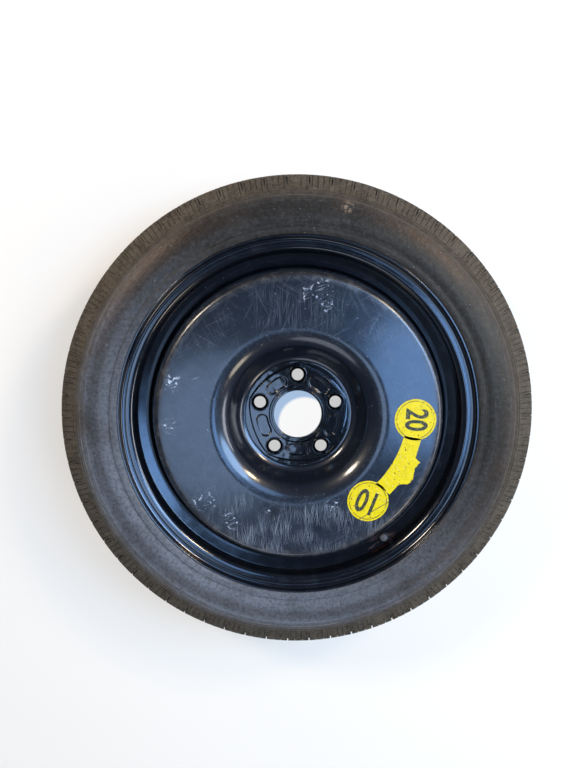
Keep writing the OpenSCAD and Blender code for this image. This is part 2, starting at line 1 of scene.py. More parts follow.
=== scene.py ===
# %% [markdown]
# # A temporary spare wheel
# This lesson dresses a steel spare wheel that lies flat with its outboard face up.
# The measured solids come in as a fixed frame. Here they get the smooth bends, the tread, the
# wear and the finishes that a camera sees. Lengths are written in millimetres, as a drawing
# has them, and turned into metres where Blender needs them.

# %% The frame, the units and the box that the model has to stay in
import math
import random

import bmesh
import bpy
from mathutils import Euler, Matrix, Vector


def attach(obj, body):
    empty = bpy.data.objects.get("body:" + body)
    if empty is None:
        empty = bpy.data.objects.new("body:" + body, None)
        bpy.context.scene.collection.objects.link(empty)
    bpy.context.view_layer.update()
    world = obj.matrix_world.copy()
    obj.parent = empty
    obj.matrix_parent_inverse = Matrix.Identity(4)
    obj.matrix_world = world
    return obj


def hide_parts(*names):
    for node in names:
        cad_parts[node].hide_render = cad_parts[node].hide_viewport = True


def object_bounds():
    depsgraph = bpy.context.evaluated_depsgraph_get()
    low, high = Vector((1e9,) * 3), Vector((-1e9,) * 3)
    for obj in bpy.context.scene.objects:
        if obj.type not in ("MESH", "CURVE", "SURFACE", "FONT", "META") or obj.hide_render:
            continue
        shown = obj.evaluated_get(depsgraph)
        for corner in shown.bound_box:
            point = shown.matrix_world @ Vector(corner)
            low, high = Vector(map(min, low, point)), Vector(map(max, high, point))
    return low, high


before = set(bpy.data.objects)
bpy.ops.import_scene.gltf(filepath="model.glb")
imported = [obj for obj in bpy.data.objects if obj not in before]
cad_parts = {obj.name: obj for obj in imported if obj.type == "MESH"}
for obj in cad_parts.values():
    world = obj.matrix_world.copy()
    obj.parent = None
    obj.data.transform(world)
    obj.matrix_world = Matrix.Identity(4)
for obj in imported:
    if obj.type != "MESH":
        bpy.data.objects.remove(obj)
cad_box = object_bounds()
MM = 0.001
TURN = 2 * math.pi
scene = bpy.context.scene
print("solids in the frame:", len(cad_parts), "box in m:", cad_box)

# %% [markdown]
# ## Camera
# A phone's wide lens looks down from a little up and left of the wheel's middle. The camera's place and
# turn were fitted to the wheel's circles in the photo, so the near rim hides as much of the well as it
# does there.

# %% The camera
camera_data = bpy.data.cameras.new("phone_camera")
camera_data.sensor_width = 36.0
camera_data.lens = 27.05
camera_data.clip_start = 0.01
camera = bpy.data.objects.new("phone_camera", camera_data)
scene.collection.objects.link(camera)
right, up, back = (0.9999, -0.0023, 0.0163), (0.0038, 0.9956, -0.0937), (-0.0160, 0.0938, 0.9955)
turn = Matrix((right, up, back)).transposed().to_quaternion().to_matrix().to_4x4()
camera.matrix_world = Matrix.Translation((-0.0257, 0.1146, 0.7837)) @ turn
scene.camera = camera
print("camera stands", round(camera.location.z, 3), "m above the hub face")

# %% [markdown]
# ## Colours and shader nodes
# Colours are sRGB hex codes, and one function turns them into the linear values that shaders mix. A
# second adds a node of any kind, sets or links its inputs, and hands back the output to go on from.

# %% Colours, nodes and ramps
def colour(code):
    """An sRGB hex code as the linear colour that shaders use."""
    parts = [int(code[i:i + 2], 16) / 255 for i in (1, 3, 5)]
    return [c / 12.92 if c <= 0.04045 else ((c + 0.055) / 1.055) ** 2.4 for c in parts] + [1.0]


# every node tree in the order begun; nodes go into the last
trees = []


def add(kind, inputs=None, out=0, **settings):
    """Adds a node to the last tree begun. Inputs are values, hex codes or other nodes' outputs."""
    node = trees[-1].nodes.new("ShaderNode" + kind)
    for name, value in settings.items():
        setattr(node, name, value)
    for key, value in (inputs or {}).items():
        if isinstance(value, bpy.types.NodeSocket):
            trees[-1].links.new(value, node.inputs[key])
        else:
            node.inputs[key].default_value = colour(value) if isinstance(value, str) else value
    return node.outputs[out]


# %% [markdown]
# A mask is a value from 0 to 1 that says where something shows. It is a ramp over some measure, or
# several of them put together. The floor needs them as much as the wheel's wear does.

# %% Masks
def ramp(value, low, high):
    """0 at low, 1 at high and straight between them; low may be the larger one."""
    return add("MapRange", {"Value": value, "From Min": low, "From Max": high})


def all_of(first, *others):
    """Masks multiplied, so that it is 1 where all of them are. A plain number weakens the rest."""
    for other in others:
        first = add("Math", {0: first, 1: other}, operation="MULTIPLY")
    return first


def any_of(first, *others):
    """The strongest of the masks at each place."""
    for other in others:
        first = add("Math", {0: first, 1: other}, operation="MAXIMUM")
    return first


def window(value, low, high, soft):
    """1 where value lies between low and high, fading to 0 over soft outside them."""
    return all_of(ramp(value, low - soft, low), ramp(value, high + soft, high))


# %% [markdown]
# A material starts with its constants, and from then on nodes go into its tree. Once it is built, it
# goes onto its pieces.

# %% Materials and the objects that wear them
def new_material(name, **constants):
    """A material whose shader has these constant inputs; underscores stand for spaces."""
    material = bpy.data.materials.new(name)
    material.use_nodes = True
    trees.append(material.node_tree)
    shader = material.node_tree.nodes["Principled BSDF"]
    for key, value in constants.items():
        value = colour(value) if isinstance(value, str) else value
        shader.inputs[key.replace("_", " ")].default_value = value
    return material, shader


def dress(material, *pieces):
    """Puts a finished material on pieces, in place of any that they have."""
    for piece in pieces:
        piece.data.materials.clear()
        piece.data.materials.append(material)
    print(material.name, "has", len(material.node_tree.nodes), "nodes")


def show(name, data):
    """A new object in the scene."""
    shown = bpy.data.objects.new(name, data)
    scene.collection.objects.link(shown)
    return shown


# %% [markdown]
# ## Floor
# It takes the wheel's shadow, and camera rays see it mixed with white, and all white from 2 m out.
# Under the hub a patch of the floor has painted light and shade, for camera rays only: light grey through
# the holes, and through the bore a painted pool of white light with a painted blue shadow at its edge.

# %% The floor
FLOOR_HALF, FLOOR_GAP = 6.0, 0.0002
PAPER_SHARE, PATCH_SHARE = 0.40, 0.93
floor_z = cad_box[0][2] - FLOOR_GAP
floor_mesh = bmesh.new()
bmesh.ops.create_grid(
    floor_mesh, x_segments=1, y_segments=1, size=FLOOR_HALF, matrix=Matrix.Translation((0, 0, floor_z)))
floor_data = bpy.data.meshes.new("floor")
floor_mesh.to_mesh(floor_data)
floor_mesh.free()
floor = show("floor", floor_data)
print("floor at", round(floor_z, 4), "m")

# %% [markdown]
# White makes up 40 per cent of what the camera sees of the floor, and 93 per cent under the hub, which
# paints light over the wheel's shadow there. Under the bore, a circle that lies off centre stays white, as a
# painted pool of light, and the crescent outside it is a painted blue shadow.

# %% Paper, and the painted light and shade seen through the hub
paper, paper_shader = new_material("matt white paper backdrop", Base_Color="#fbeed8", Roughness=0.9)
seen = add("LightPath", out="Is Camera Ray")
spot = add("TexCoord", out="Object")
from_hub, from_painted_light_spot = [
    add("VectorMath", {0: spot, 1: (x, y, floor_z)}, out="Value", operation="DISTANCE")
    for x, y in ((0, -0.010), (0.013, -0.026))]
under_hub = ramp(from_hub, 0.110, 0.095)
under_bore = ramp(from_hub, 0.047, 0.043)
# 93 per cent white under the hub is painted light over the wheel's own shadow
white_share = add("MapRange", {"Value": under_hub, "To Min": PAPER_SHARE, "To Max": PATCH_SHARE})
white_share = all_of(any_of(white_share, ramp(from_hub, 0.9, 2.0)), seen)
# a painted blue shadow round a painted pool of white light under the bore
painted_blue_shadow = all_of(ramp(from_painted_light_spot, 0.037, 0.041), under_bore)
# painted grey shade on the floor seen through the stud holes
painted_shade_under_holes = add("Math", {0: under_hub, 1: under_bore}, operation="SUBTRACT")
tint = add("Mix", {0: painted_shade_under_holes, 6: "#ffffff", 7: "#d0d1d0"}, out=2, data_type="RGBA")
tint = add("Mix", {0: painted_blue_shadow, 6: tint, 7: "#aac4e4"}, out=2, data_type="RGBA")
white = add("Emission", {"Color": tint, "Strength": 1.0})
both = add("MixShader", {0: white_share, 1: paper_shader.outputs[0], 2: white})
paper.node_tree.links.new(both, paper.node_tree.nodes["Material Output"].inputs["Surface"])
dress(paper, floor)

# %% [markdown]
# ## Sky
# Gloss black paint shows little but what it reflects, so the room matters more than on a matt object. The
# sky is a dim blue, as open shade is, and dimmer overhead, where the photographer stood. Camera rays that
# meet it see plain white.

# %% The sky: dim blue, brighter low down
SKY_STRENGTH = 0.28
world = bpy.data.worlds.new("open shade")
world.use_nodes = True
scene.world = world
sky = world.node_tree
trees.append(sky)
direction = add("TexCoord", out="Generated")
height = add("SeparateXYZ", {0: direction}, out="Z")
low_down = ramp(height, 0.98, 0.45)
tint = add("Mix", {0: low_down, 6: "#6f7e95", 7: "#8aa5cf"}, out=2, data_type="RGBA")
shade = sky.nodes["Background"]
sky.links.new(tint, shade.inputs["Color"])
shade.inputs["Strength"].default_value = SKY_STRENGTH
plain_white = add("Background", {"Color": "#ffffff", "Strength": 1.0})
direct = add("LightPath", out="Is Camera Ray")
either = add("MixShader", {0: direct, 1: shade.outputs[0], 2: plain_white})
sky.links.new(either, sky.nodes["World Output"].inputs["Surface"])
print("sky has", len(sky.nodes), "nodes")

# %% [markdown]
# ## Lamps
# Broad blue lamps stand for the open sky in the flat ring and the rim's inner band. Small warm ones draw
# the bright arcs on the bends. Each stands where the bend mirrors it to the camera at the spot of the
# photo's highlight.

# %% The lamps
LAMPS = {
    # name: azimuth and elevation in degrees, width and height in m, radiance, colour
    "lamp_sky_right": (20, 48, 1.0, 1.3, 13, "#a4ccff"),
    "lamp_low_right": (356, 23, 1.7, 0.5, 7, "#eef3ff"),
    "lamp_sky_far_right": (48, 60, 0.9, 0.8, 4.0, "#8cbdff"),
    "lamp_sky_low_left": (228, 77, 0.75, 0.75, 4.2, "#accfff"),
    "lamp_sky_edge": (350, 71, 0.75, 0.65, 7.5, "#86b9ff"),
    "lamp_low_left": (255, 36, 1.4, 0.8, 2.2, "#e4eeff"),
    "lamp_upper_left": (141, 36, 0.40, 0.52, 46, "#fff0dc"),
    "lamp_upper_right": (42, 36, 0.34, 0.46, 46, "#ffe2b8"),
    "lamp_lower_right": (-48, 40, 0.5, 0.6, 8, "#fff2dc"),
}
LAMP_DISTANCE = 2.2
for name, (azimuth, elevation, width, tall, radiance, tone) in LAMPS.items():
    lamp_data = bpy.data.lights.new(name, "AREA")
    lamp_data.shape = "ELLIPSE"
    lamp_data.size, lamp_data.size_y = width, tall
    area = math.pi * width * tall / 4
    lamp_data.energy = radiance * math.pi * area
    lamp_data.color = colour(tone)[:3]
    lamp = show(name, lamp_data)
    a, e = math.radians(azimuth), math.radians(elevation)
    place = LAMP_DISTANCE * Vector((math.cos(e) * math.cos(a), math.cos(e) * math.sin(a), math.sin(e)))
    lamp.location = place
    lamp.rotation_euler = place.to_track_quat("Z", "Y").to_euler()
scene.view_settings.view_transform = "Standard"
print("lamps:", len(LAMPS))

# %% [markdown]
# ## Sections that turn round the axis
# Rim, disc, tyre and valve are all sections spun round an axis. Each section is a wire of straight
# stretches whose corners are bevelled to the real bend radius, then split into short steps, so that gloss
# paint reflects smoothly from the bends.

# %% Wires with bent corners, and the spin
def wire(bm, corners, step=3.0, closed=False, turn_step=9):
    """Corners are (radius, height) or (radius, height, bend radius), in mm; turn_step is in degrees."""
    verts = [bm.verts.new((c[0] * MM, 0, c[1] * MM)) for c in corners]
    count = len(verts)
    for i in range(count if closed else count - 1):
        bm.edges.new((verts[i], verts[(i + 1) % count]))
    points = [Vector(c[:2]) for c in corners]
    for i, corner in enumerate(corners):
        if len(corner) < 3 or (not closed and i in (0, count - 1)):
            continue
        bend = (points[i] - points[i - 1]).angle(points[(i + 1) % count] - points[i])
        bmesh.ops.bevel(
            bm, geom=[verts[i]], offset=corner[2] * MM * math.tan(bend / 2), offset_type="OFFSET",
            segments=max(2, round(math.degrees(bend) / turn_step)), profile=0.5, affect="VERTICES",
            material=-1, clamp_overlap=False,
        )
    for edge in [e for e in bm.edges if e.calc_length() > 1.4 * step * MM]:
        bmesh.ops.subdivide_edges(bm, edges=[edge], cuts=int(edge.calc_length() / (step * MM)))


def spin(bm, steps, angle=TURN, geom=None, rise=0.0, copies=False):
    """Draws geom, or all of bm, round Z in steps. A whole turn is welded where it meets itself."""
    geom = geom or bm.verts[:] + bm.edges[:] + bm.faces[:]
    return bmesh.ops.spin(
        bm, geom=geom, cent=(0, 0, 0), axis=(0, 0, 1), dvec=(0, 0, rise), angle=angle, steps=steps,
        use_merge=angle == TURN, use_duplicate=copies)["geom_last"]


def swing(bm, angle):
    """Turns all of bm about Z."""
    bmesh.ops.rotate(bm, verts=bm.verts, cent=(0, 0, 0), matrix=Matrix.Rotation(angle, 3, "Z"))


def polar(v):
    """A vertex's distance from the axis in mm, its angle round it, and its height in mm."""
    return v.co.xy.length / MM, math.atan2(v.co.y, v.co.x), v.co.z / MM


def move_to(v, r, angle, z):
    v.co = (r * MM * math.cos(angle), r * MM * math.sin(angle), z * MM)


def join(bm, part):
    """Puts a finished part into bm and lets go of the part."""
    mesh = bpy.data.meshes.new("part")
    part.to_mesh(mesh)
    part.free()
    bm.from_mesh(mesh)
    bpy.data.meshes.remove(mesh)


# %% [markdown]
# A finished bmesh becomes an object at the origin. A piece that replaces none is an extra, such as print
# on the film.

# %% From a bmesh to a piece that rides on a body
WELD = 0.000004


def make_piece(bm, name, nodes=(), body="wheel", sharp=40, weld=True):
    if weld:
        bmesh.ops.remove_doubles(bm, verts=bm.verts[:], dist=WELD)
        bmesh.ops.recalc_face_normals(bm, faces=bm.faces[:])
    mesh = bpy.data.meshes.new(name)
    bm.to_mesh(mesh)
    bm.free()
    mesh.shade_smooth()
    mesh.set_sharp_from_angle(angle=math.radians(sharp))
    piece = show(name, mesh)
    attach(piece, body)
    if nodes:
        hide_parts(*nodes)
    print(name, "has", sum(len(p.vertices) - 2 for p in mesh.polygons), "triangles")
    return piece


def keep_flats_flat(piece):
    """Lets the large flat faces decide the shading of the bends beside them."""
    weighted = piece.modifiers.new("flat faces stay flat", "WEIGHTED_NORMAL")
    weighted.keep_sharp = True


# %% [markdown]
# ## Rim
# The rim is one strip of steel rolled into a ring. From the lip it curls in, drops to the bead seat,
# rises over a small hump, runs down a sloped ledge that carries the valve, and crosses the drop well. The
# wire is the face towards the tyre, and Solidify adds the sheet's thickness behind it.

# %% Rim sizes and section
LIP_Z, RIM_W, SEAT_R, FLANGE_R = 44.0, 101.6, 218.3, 235.6
LIP_W, WELL_R, HUMP_R, SHEET = 10.2, 199.5, 219.1, 2.5
LEDGE = math.radians(22)
WALL = RIM_W / 2
MID_Z = LIP_Z - LIP_W - WALL
well_u = WALL - 20.3 - (HUMP_R - WELL_R) * math.tan(LEDGE)
rim_half = [
    (FLANGE_R - 0.8, WALL + LIP_W), (FLANGE_R, WALL, 8.5), (SEAT_R, WALL, 6.5),
    (SEAT_R - 1.8, WALL - 14.8, 4), (HUMP_R, WALL - 20.3, 4), (WELL_R, well_u, 6),
]
rim_corners = [(c[0], MID_Z + c[1], *c[2:]) for c in rim_half]
rim_corners += [(c[0], MID_Z - c[1], *c[2:]) for c in reversed(rim_half)]
rim_mesh = bmesh.new()
wire(rim_mesh, rim_corners, step=4)
spin(rim_mesh, 240)
rim = make_piece(rim_mesh, "rim_barrel", ["rim"], sharp=60)
plate = rim.modifiers.new("sheet", "SOLIDIFY")
plate.thickness, plate.offset, plate.use_even_offset = SHEET * MM, -1, True
edge_round = rim.modifiers.new("rolled edge", "BEVEL")
edge_round.width, edge_round.segments, edge_round.limit_method = 0.8 * MM, 3, "ANGLE"
edge_round.angle_limit = math.radians(60)
keep_flats_flat(rim)

# %% [markdown]
# ## Disc
# The disc is pressed from thicker sheet: a skirt in the well, a crown, the broad flat ring, and a bowl
# that drops to a raised, five-sided hub pad with a nut seat in each corner and a pocket between the
# seats. The plain part is spun. Flat faces are filled between outlines, because on gloss paint they have
# to be truly flat.

# %% The far side of a sheet's section
def other_face(corners, thickness):
    """The section's corners moved to the sheet's far side, which lies to the right of the path."""
    points = [Vector(c[:2]) for c in corners]
    ways = [(b - a).normalized() for a, b in zip(points, points[1:])]
    moved = []
    for i, corner in enumerate(corners):
        before, after = ways[max(i - 1, 0)], ways[min(i, len(ways) - 1)]
        side = (Vector((before.y, -before.x)) + Vector((after.y, -after.x))).normalized()
        side /= side.dot(Vector((before.y, -before.x)))
        place = points[i] + thickness * side
        left_bend = before.cross(after) > 0
        bend = [corner[2] + (thickness if left_bend else -thickness)] if len(corner) > 2 else []
        moved.append((place.x, place.y, *bend))
    return moved


# %% [markdown]
# The plain part runs from the bowl's floor over the ring and the crown down to the skirt. The bowl's top
# bend is wider here than in the solid, since the photo's highlight on it is broad.

# %% The plain part of the disc
PLATE, RING_Z, SKIRT_R, CROWN_R = 3.5, 41.0, 196.9, 187.5
FLOOR_JOIN = 70.4
STEPS = 240
outer_face = [
    (FLOOR_JOIN - 3, PLATE), (77, PLATE, 12), (99.6, RING_Z, 31), (CROWN_R, RING_Z, 8),
    (SKIRT_R, 11, 10), (SKIRT_R, -9),
]
inner_face = other_face(outer_face, PLATE)
outer_face[0] = (FLOOR_JOIN, PLATE)
inner_face[0] = (FLOOR_JOIN, 0.0)
disc_mesh = bmesh.new()
wire(disc_mesh, outer_face + inner_face[::-1], step=3.5)
spin(disc_mesh, STEPS)
print("disc's plain part:", len(disc_mesh.faces), "faces")

# %% [markdown]
# The collar, the pad's edge, the seats and the pockets are each a small wire spun about its own axis. The
# pad's edge is then pushed in to five sides, and each pocket is pulled apart to a bent slot.

# %% The collar and the pad's edge
STUD_R, STUDS, POCKET_R = 54.0, 5, 49.0
STUD_TURN = TURN / STUDS
PAD_Z, BOSS_Z, COLLAR_Z, POCKET_Z, BORE_R = 6.0, 7.6, 7.5, 3.9, 32.55
collar = bmesh.new()
wire(collar, [
    (BORE_R, 0), (BORE_R, COLLAR_Z, 0.5), (35.6, COLLAR_Z, 0.6), (35.9, PLATE, 0.4), (38.2, PLATE, 0.8),
    (39.2, PAD_Z, 0.6), (39.7, PAD_Z),
], step=2)
spin(collar, 144)
join(disc_mesh, collar)


def pad_reach(angle):
    """Distance in mm of the pad's top edge from the axis: five bulged sides with soft corners."""
    off = math.radians(abs((math.degrees(angle) - 90) % 72 - 36))
    bulge, corner, soft = 113.0, 68.6, 1.2
    centre = 62.5 - bulge
    side = centre * math.cos(off) + math.sqrt(bulge ** 2 - (centre * math.sin(off)) ** 2)
    return -soft * math.log(math.exp(-side / soft) + math.exp(-corner / soft))


PAD_FOOT, PAD_TOP, PAD_IN = 69.2, 68.0, 67.6
pad_edge = bmesh.new()
wire(pad_edge, [(FLOOR_JOIN, PLATE), (PAD_FOOT, PLATE, 0.8), (PAD_TOP, PAD_Z, 0.6), (PAD_IN, PAD_Z)], step=2)
spin(pad_edge, STEPS)
for v in pad_edge.verts:
    r, angle, z = polar(v)
    share = min(1, (FLOOR_JOIN - r) / (FLOOR_JOIN - PAD_FOOT))
    move_to(v, r + (pad_reach(angle) - PAD_TOP) * share, angle, z)
join(disc_mesh, pad_edge)
reaches = [round(pad_reach(math.radians(angle)), 1) for angle in (126, 90)]
print("pad's edge stands between", *reaches, "mm from the axis")

# %% [markdown]
# A wheel nut has a cone, so each stud hole opens into a coned seat on a low boss. Every seat is spun at
# the origin and moved out to its stud, and the first one lies on +Y.

# %% Stud seats
for k in range(STUDS):
    seat = bmesh.new()
    wire(seat, [
        (12.7, PAD_Z), (12.6, PAD_Z, 0.1), (12.1, BOSS_Z, 0.3), (11.5, BOSS_Z, 0.25), (8, 3.1, 0.5),
        (8, 1.2, 0.1), (12.8, 1.2, 0.1), (12.8, 0),
    ], step=2)
    spin(seat, 64)
    outwards = Matrix.Translation((STUD_R * MM, 0, 0))
    place = Matrix.Rotation(math.radians(90) + STUD_TURN * k, 4, "Z") @ outwards
    bmesh.ops.transform(seat, matrix=place, verts=seat.verts)
    join(disc_mesh, seat)
print("stud seats:", STUDS)

# %% [markdown]
# A pocket starts as a round dish. The edges that cross its middle are split, and the two halves are swung
# apart about the wheel's axis, so the dish becomes a slot that bends with the pad.

# %% Pockets
POCKET_STEPS, POCKET_SPAN = 48, math.radians(9)
for k in range(STUDS):
    pocket = bmesh.new()
    wire(pocket, [(5.2, POCKET_Z), (6.5, POCKET_Z, 1.4), (8.2, PAD_Z, 0.8), (8.9, PAD_Z)], step=1.5)
    spin(pocket, POCKET_STEPS)
    half_step = math.pi / POCKET_STEPS
    swing(pocket, half_step)
    across = [e for e in pocket.edges if e.verts[0].co.y * e.verts[1].co.y < 0]
    bmesh.ops.subdivide_edges(pocket, edges=across, cuts=9, use_grid_fill=True)
    for v in pocket.verts:
        share = v.co.y / v.co.xy.length / math.sin(half_step)
        moved = v.co + Vector((POCKET_R * MM, 0, 0))
        v.co = Matrix.Rotation(POCKET_SPAN * max(-1, min(1, share)), 3, "Z") @ moved
    swing(pocket, math.radians(126) + STUD_TURN * k)
    join(disc_mesh, pocket)
print("pockets:", STUDS)

# %% [markdown]
# Three flat faces are still open: the face that meets the hub, the pad and the pockets' floors. Triangle
# fill takes all the open outlines at one height and closes what lies between them.

# %% Flat faces between the rings, and the finished disc
bmesh.ops.remove_doubles(disc_mesh, verts=disc_mesh.verts[:], dist=WELD)
for flat_z in (0.0, PAD_Z, POCKET_Z):
    rims = [e for e in disc_mesh.edges if e.is_boundary]
    outlines = [e for e in rims if all(abs(v.co.z - flat_z * MM) < 1e-7 for v in e.verts)]
    bmesh.ops.triangle_fill(disc_mesh, use_beauty=True, use_dissolve=False, edges=outlines)
print("disc's edges that are still open:", sum(len(e.link_faces) != 2 for e in disc_mesh.edges))
disc = make_piece(disc_mesh, "disc_pressing", ["disc"], sharp=60)
keep_flats_flat(disc)

# %% [markdown]
# ## Welds
# On the hidden side eight runs of weld join the skirt's end to the well. A run is a string of puddles, so
# its section swells and sinks along its length.

# %% Weld beads
WELDS, PUDDLES = 8, 22
half = math.radians(13)
anchor = Vector((196.8, -9.2))
weld_mesh = bmesh.new()
for k in range(WELDS):
    bead = bmesh.new()
    wire(bead, [(193.6, -9.1), (194.6, -11.4, 1.2), (196.9, -12.3), (196.9, -9.1)], step=0.8, closed=True)
    swing(bead, -half)
    bmesh.ops.contextual_create(bead, geom=bead.edges[:])
    spin(bead, 90, angle=2 * half)
    for v in bead.verts:
        r, angle, z = polar(v)
        along = (angle + half) / (2 * half)
        puddle = 0.86 + 0.14 * abs(math.sin(along * PUDDLES * math.pi))
        taper = min(1.0, 0.35 + 9 * min(along, 1 - along))
        here = anchor + (Vector((r, z)) - anchor) * puddle * taper
        move_to(v, here.x, angle, here.y)
    swing(bead, TURN / WELDS * (k + 0.5))
    join(weld_mesh, bead)
welds = make_piece(weld_mesh, "weld_beads", ["disc_welds"], sharp=70)

# %% [markdown]
# ## Tyre
# A tyre comes out of its mould with every groove and notch repeated at one pitch. So one pitch is spun
# from the section in uneven steps, its slots are pressed in, and the pitch is copied round the wheel.

# %% Tyre section
TYRE_R, SECTION, FIT = 315.9, 127.0, 0.1
bead_u = WALL + LIP_W + 1.5
ridge = (TYRE_R - 38.4, SECTION / 2 - 2.5)
shoulder = (TYRE_R - 4.4, 45.5)
CROWN = 420.0


def tread_r(u):
    return TYRE_R - u * u / (2 * CROWN)


def slope_u(r):
    return ridge[1] + (shoulder[1] - ridge[1]) * (r - ridge[0]) / (shoulder[0] - ridge[0])


def step_line(r, height, half=0.4):
    """A fine raised line that the joints of the mould leave on the sloped shoulder."""
    return [(r - half - 0.4, slope_u(r - half - 0.4)), (r - half, slope_u(r - half) + height),
            (r + half, slope_u(r + half) + height), (r + half + 0.4, slope_u(r + half + 0.4))]


def groove(u, half=3.0, depth=4.5, draft=0.8):
    return [(tread_r(u + half), u + half), (tread_r(u) - depth, u + half - draft),
            (tread_r(u) - depth, u - half + draft), (tread_r(u - half), u - half)]


NOTCH_LOW, NOTCH_HIGH = shoulder[0] - 15, shoulder[1] - 14
tyre_half = [
    (FLANGE_R - 0.8 + FIT, WALL + LIP_W), (FLANGE_R + 1.1, bead_u), (FLANGE_R + 8.4, bead_u + 0.4, 0.9),
    (FLANGE_R + 9.4, bead_u - 0.9), (FLANGE_R + 13.5, bead_u - 0.4), (FLANGE_R + 14.1, bead_u + 0.1),
    (FLANGE_R + 26.4, SECTION / 2 - 0.14, 50), ridge,
]
tyre_half += step_line(TYRE_R - 28.5, 0.5) + step_line(TYRE_R - 25, 0.5)
tyre_half += [(NOTCH_LOW, slope_u(NOTCH_LOW)), (*shoulder, 9), (tread_r(NOTCH_HIGH), NOTCH_HIGH)]
tyre_half += groove(19.5) + groove(0)[:2]
bead_half = [
    (SEAT_R - 1.6, WALL - 13.5, 1.0), (SEAT_R + FIT, WALL - FIT, 6.4), (FLANGE_R + FIT, WALL - FIT, 8.6),
]
air_half = [
    (220.9, 36.3, 2), (231.1, 38.4, 8), (244.1, 51.0, 12), (262.0, 56.8, 30), (293.9, 43.5, 14),
    (302.5, 26.5, 20),
]
outside = bead_half + tyre_half
corners = outside + [(c[0], -c[1], *c[2:]) for c in reversed(outside)]
corners += [(c[0], -c[1], *c[2:]) for c in air_half] + list(reversed(air_half))
corners = [(c[0], MID_Z + c[1], *c[2:]) for c in corners]
pitch_mesh = bmesh.new()
wire(pitch_mesh, corners, step=9.0, closed=True, turn_step=13)
print("tyre section has", len(pitch_mesh.verts), "points")

# %% [markdown]
# The section is spun over one pitch of 66. The steps are uneven, because their ends have to lie where the
# slots begin and end. They are written in mm along the tread.

# %% One pitch, spun in uneven steps
NOTCHES = 66
pitch = TURN / NOTCHES
AT_TREAD = 312.0
cuts = [-7.43, -0.9, 0.9, 7.2, 9.55, 10.25, 13.95, 15.75, 19.45, 20.15]
cuts.append(cuts[0] + pitch * AT_TREAD)
cuts = [c / AT_TREAD for c in cuts]
swing(pitch_mesh, cuts[0])
newest = None
for a, b in zip(cuts, cuts[1:]):
    newest = spin(pitch_mesh, 1, angle=b - a, geom=newest)
bmesh.ops.recalc_face_normals(pitch_mesh, faces=pitch_mesh.faces[:])
print("one pitch:", len(pitch_mesh.faces), "faces before its slots")

# %% [markdown]
# A slot is pressed in: the faces of one strip are extruded, and the new ones are moved inwards by the
# slot's depth, less at its ends. The outboard shoulder's notch lies half a pitch from the inboard one, so
# that the two don't hit the road together.

# %% Slots pressed into the pitch
def press_slot(strip, side, r_from, u_to, depth, u_from=None):
    """Sinks the faces of one angular strip, from r_from on the shoulder to u_to on the tread."""
    low, high = cuts[strip] - 1e-5, cuts[strip + 1] + 1e-5
    chosen = []
    for f in pitch_mesh.faces:
        places = [polar(v) for v in f.verts]
        if all(low <= angle <= high for r, angle, z in places):
            places = [(r, side * (z - MID_Z)) for r, angle, z in places]
            outer = all(r > (r_from if u > shoulder[1] - 2 else 307.0) - 0.05 for r, u in places)
            if outer and all(u_to - 0.05 < u < (u_from or SECTION) + 0.05 for r, u in places):
                chosen.append(f)
    made = bmesh.ops.extrude_face_region(pitch_mesh, geom=chosen)
    sunk = [v for v in made["geom"] if isinstance(v, bmesh.types.BMVert)]
    bmesh.ops.delete(pitch_mesh, geom=[f for f in chosen if f.is_valid], context="FACES")
    for v in sunk:
        r, angle, z = polar(v)
        u = side * (z - MID_Z)
        ends = [abs(u - u_to) / 3.0] if u < shoulder[1] - 6 else [(r - r_from) / 4.0]
        if u_from is not None:
            ends.append(abs(u_from - u) / 0.5)
        share = max(0.12, min(1.0, *ends)) if len(ends) > 1 else max(0.03, min(1.0, ends[0]))
        way = Vector((262.0 - r, 0.55 * (8.0 - u))) if u_from is None else Vector((-1.0, 0.0))
        way = way.normalized() * depth * share
        move_to(v, r + way.x, angle, MID_Z + side * (u + way.y))
    return len(chosen)


NOTCH_DEPTH, CUT_DEPTH, BLOCK_DEPTH = 3.0, 1.8, 2.2
pressed = press_slot(1, 1, NOTCH_LOW, NOTCH_HIGH, NOTCH_DEPTH)
pressed += press_slot(6, -1, NOTCH_LOW, NOTCH_HIGH, NOTCH_DEPTH)
for side in (1, -1):
    for strip in (4, 8):
        pressed += press_slot(strip, side, NOTCH_LOW + 7, NOTCH_HIGH, CUT_DEPTH)
for strip in (1, 6):
    for side in (1, -1):
        pressed += press_slot(strip, side, 400, 2.9, BLOCK_DEPTH, u_from=16.6)
print("faces pressed in:", pressed)

# %% [markdown]
# Ten strips to a pitch are only needed where there are slots. On the walls and inside, the edges between
# them are dissolved, which keeps the tyre under its limit of triangles.

# %% Fewer strips where the tyre is plain
def plain(v):
    """The walls, the beads and the air side have no slots, so two strips to a pitch are enough."""
    r, angle, z = polar(v)
    return r < NOTCH_LOW - 0.5 or (r < 304 and abs(z - MID_Z) < 40)


spare = [c for i, c in enumerate(cuts) if i not in (0, 3, len(cuts) - 1)]
radial = []
for e in pitch_mesh.edges:
    angles = [polar(v)[1] for v in e.verts]
    if abs(angles[0] - angles[1]) < 1e-5 and all(plain(v) for v in e.verts):
        if any(abs(angles[0] - c) < 1e-5 for c in spare):
            radial.append(e)
bmesh.ops.dissolve_edges(pitch_mesh, edges=radial, use_verts=True, use_face_split=False)
print("one pitch after thinning:", len(pitch_mesh.faces), "faces; cut edges taken out:", len(radial))

# %% [markdown]
# Spin can also copy: with duplicates on, it repeats the whole pitch round the axis. Merging by distance
# then sews each copy to the next.

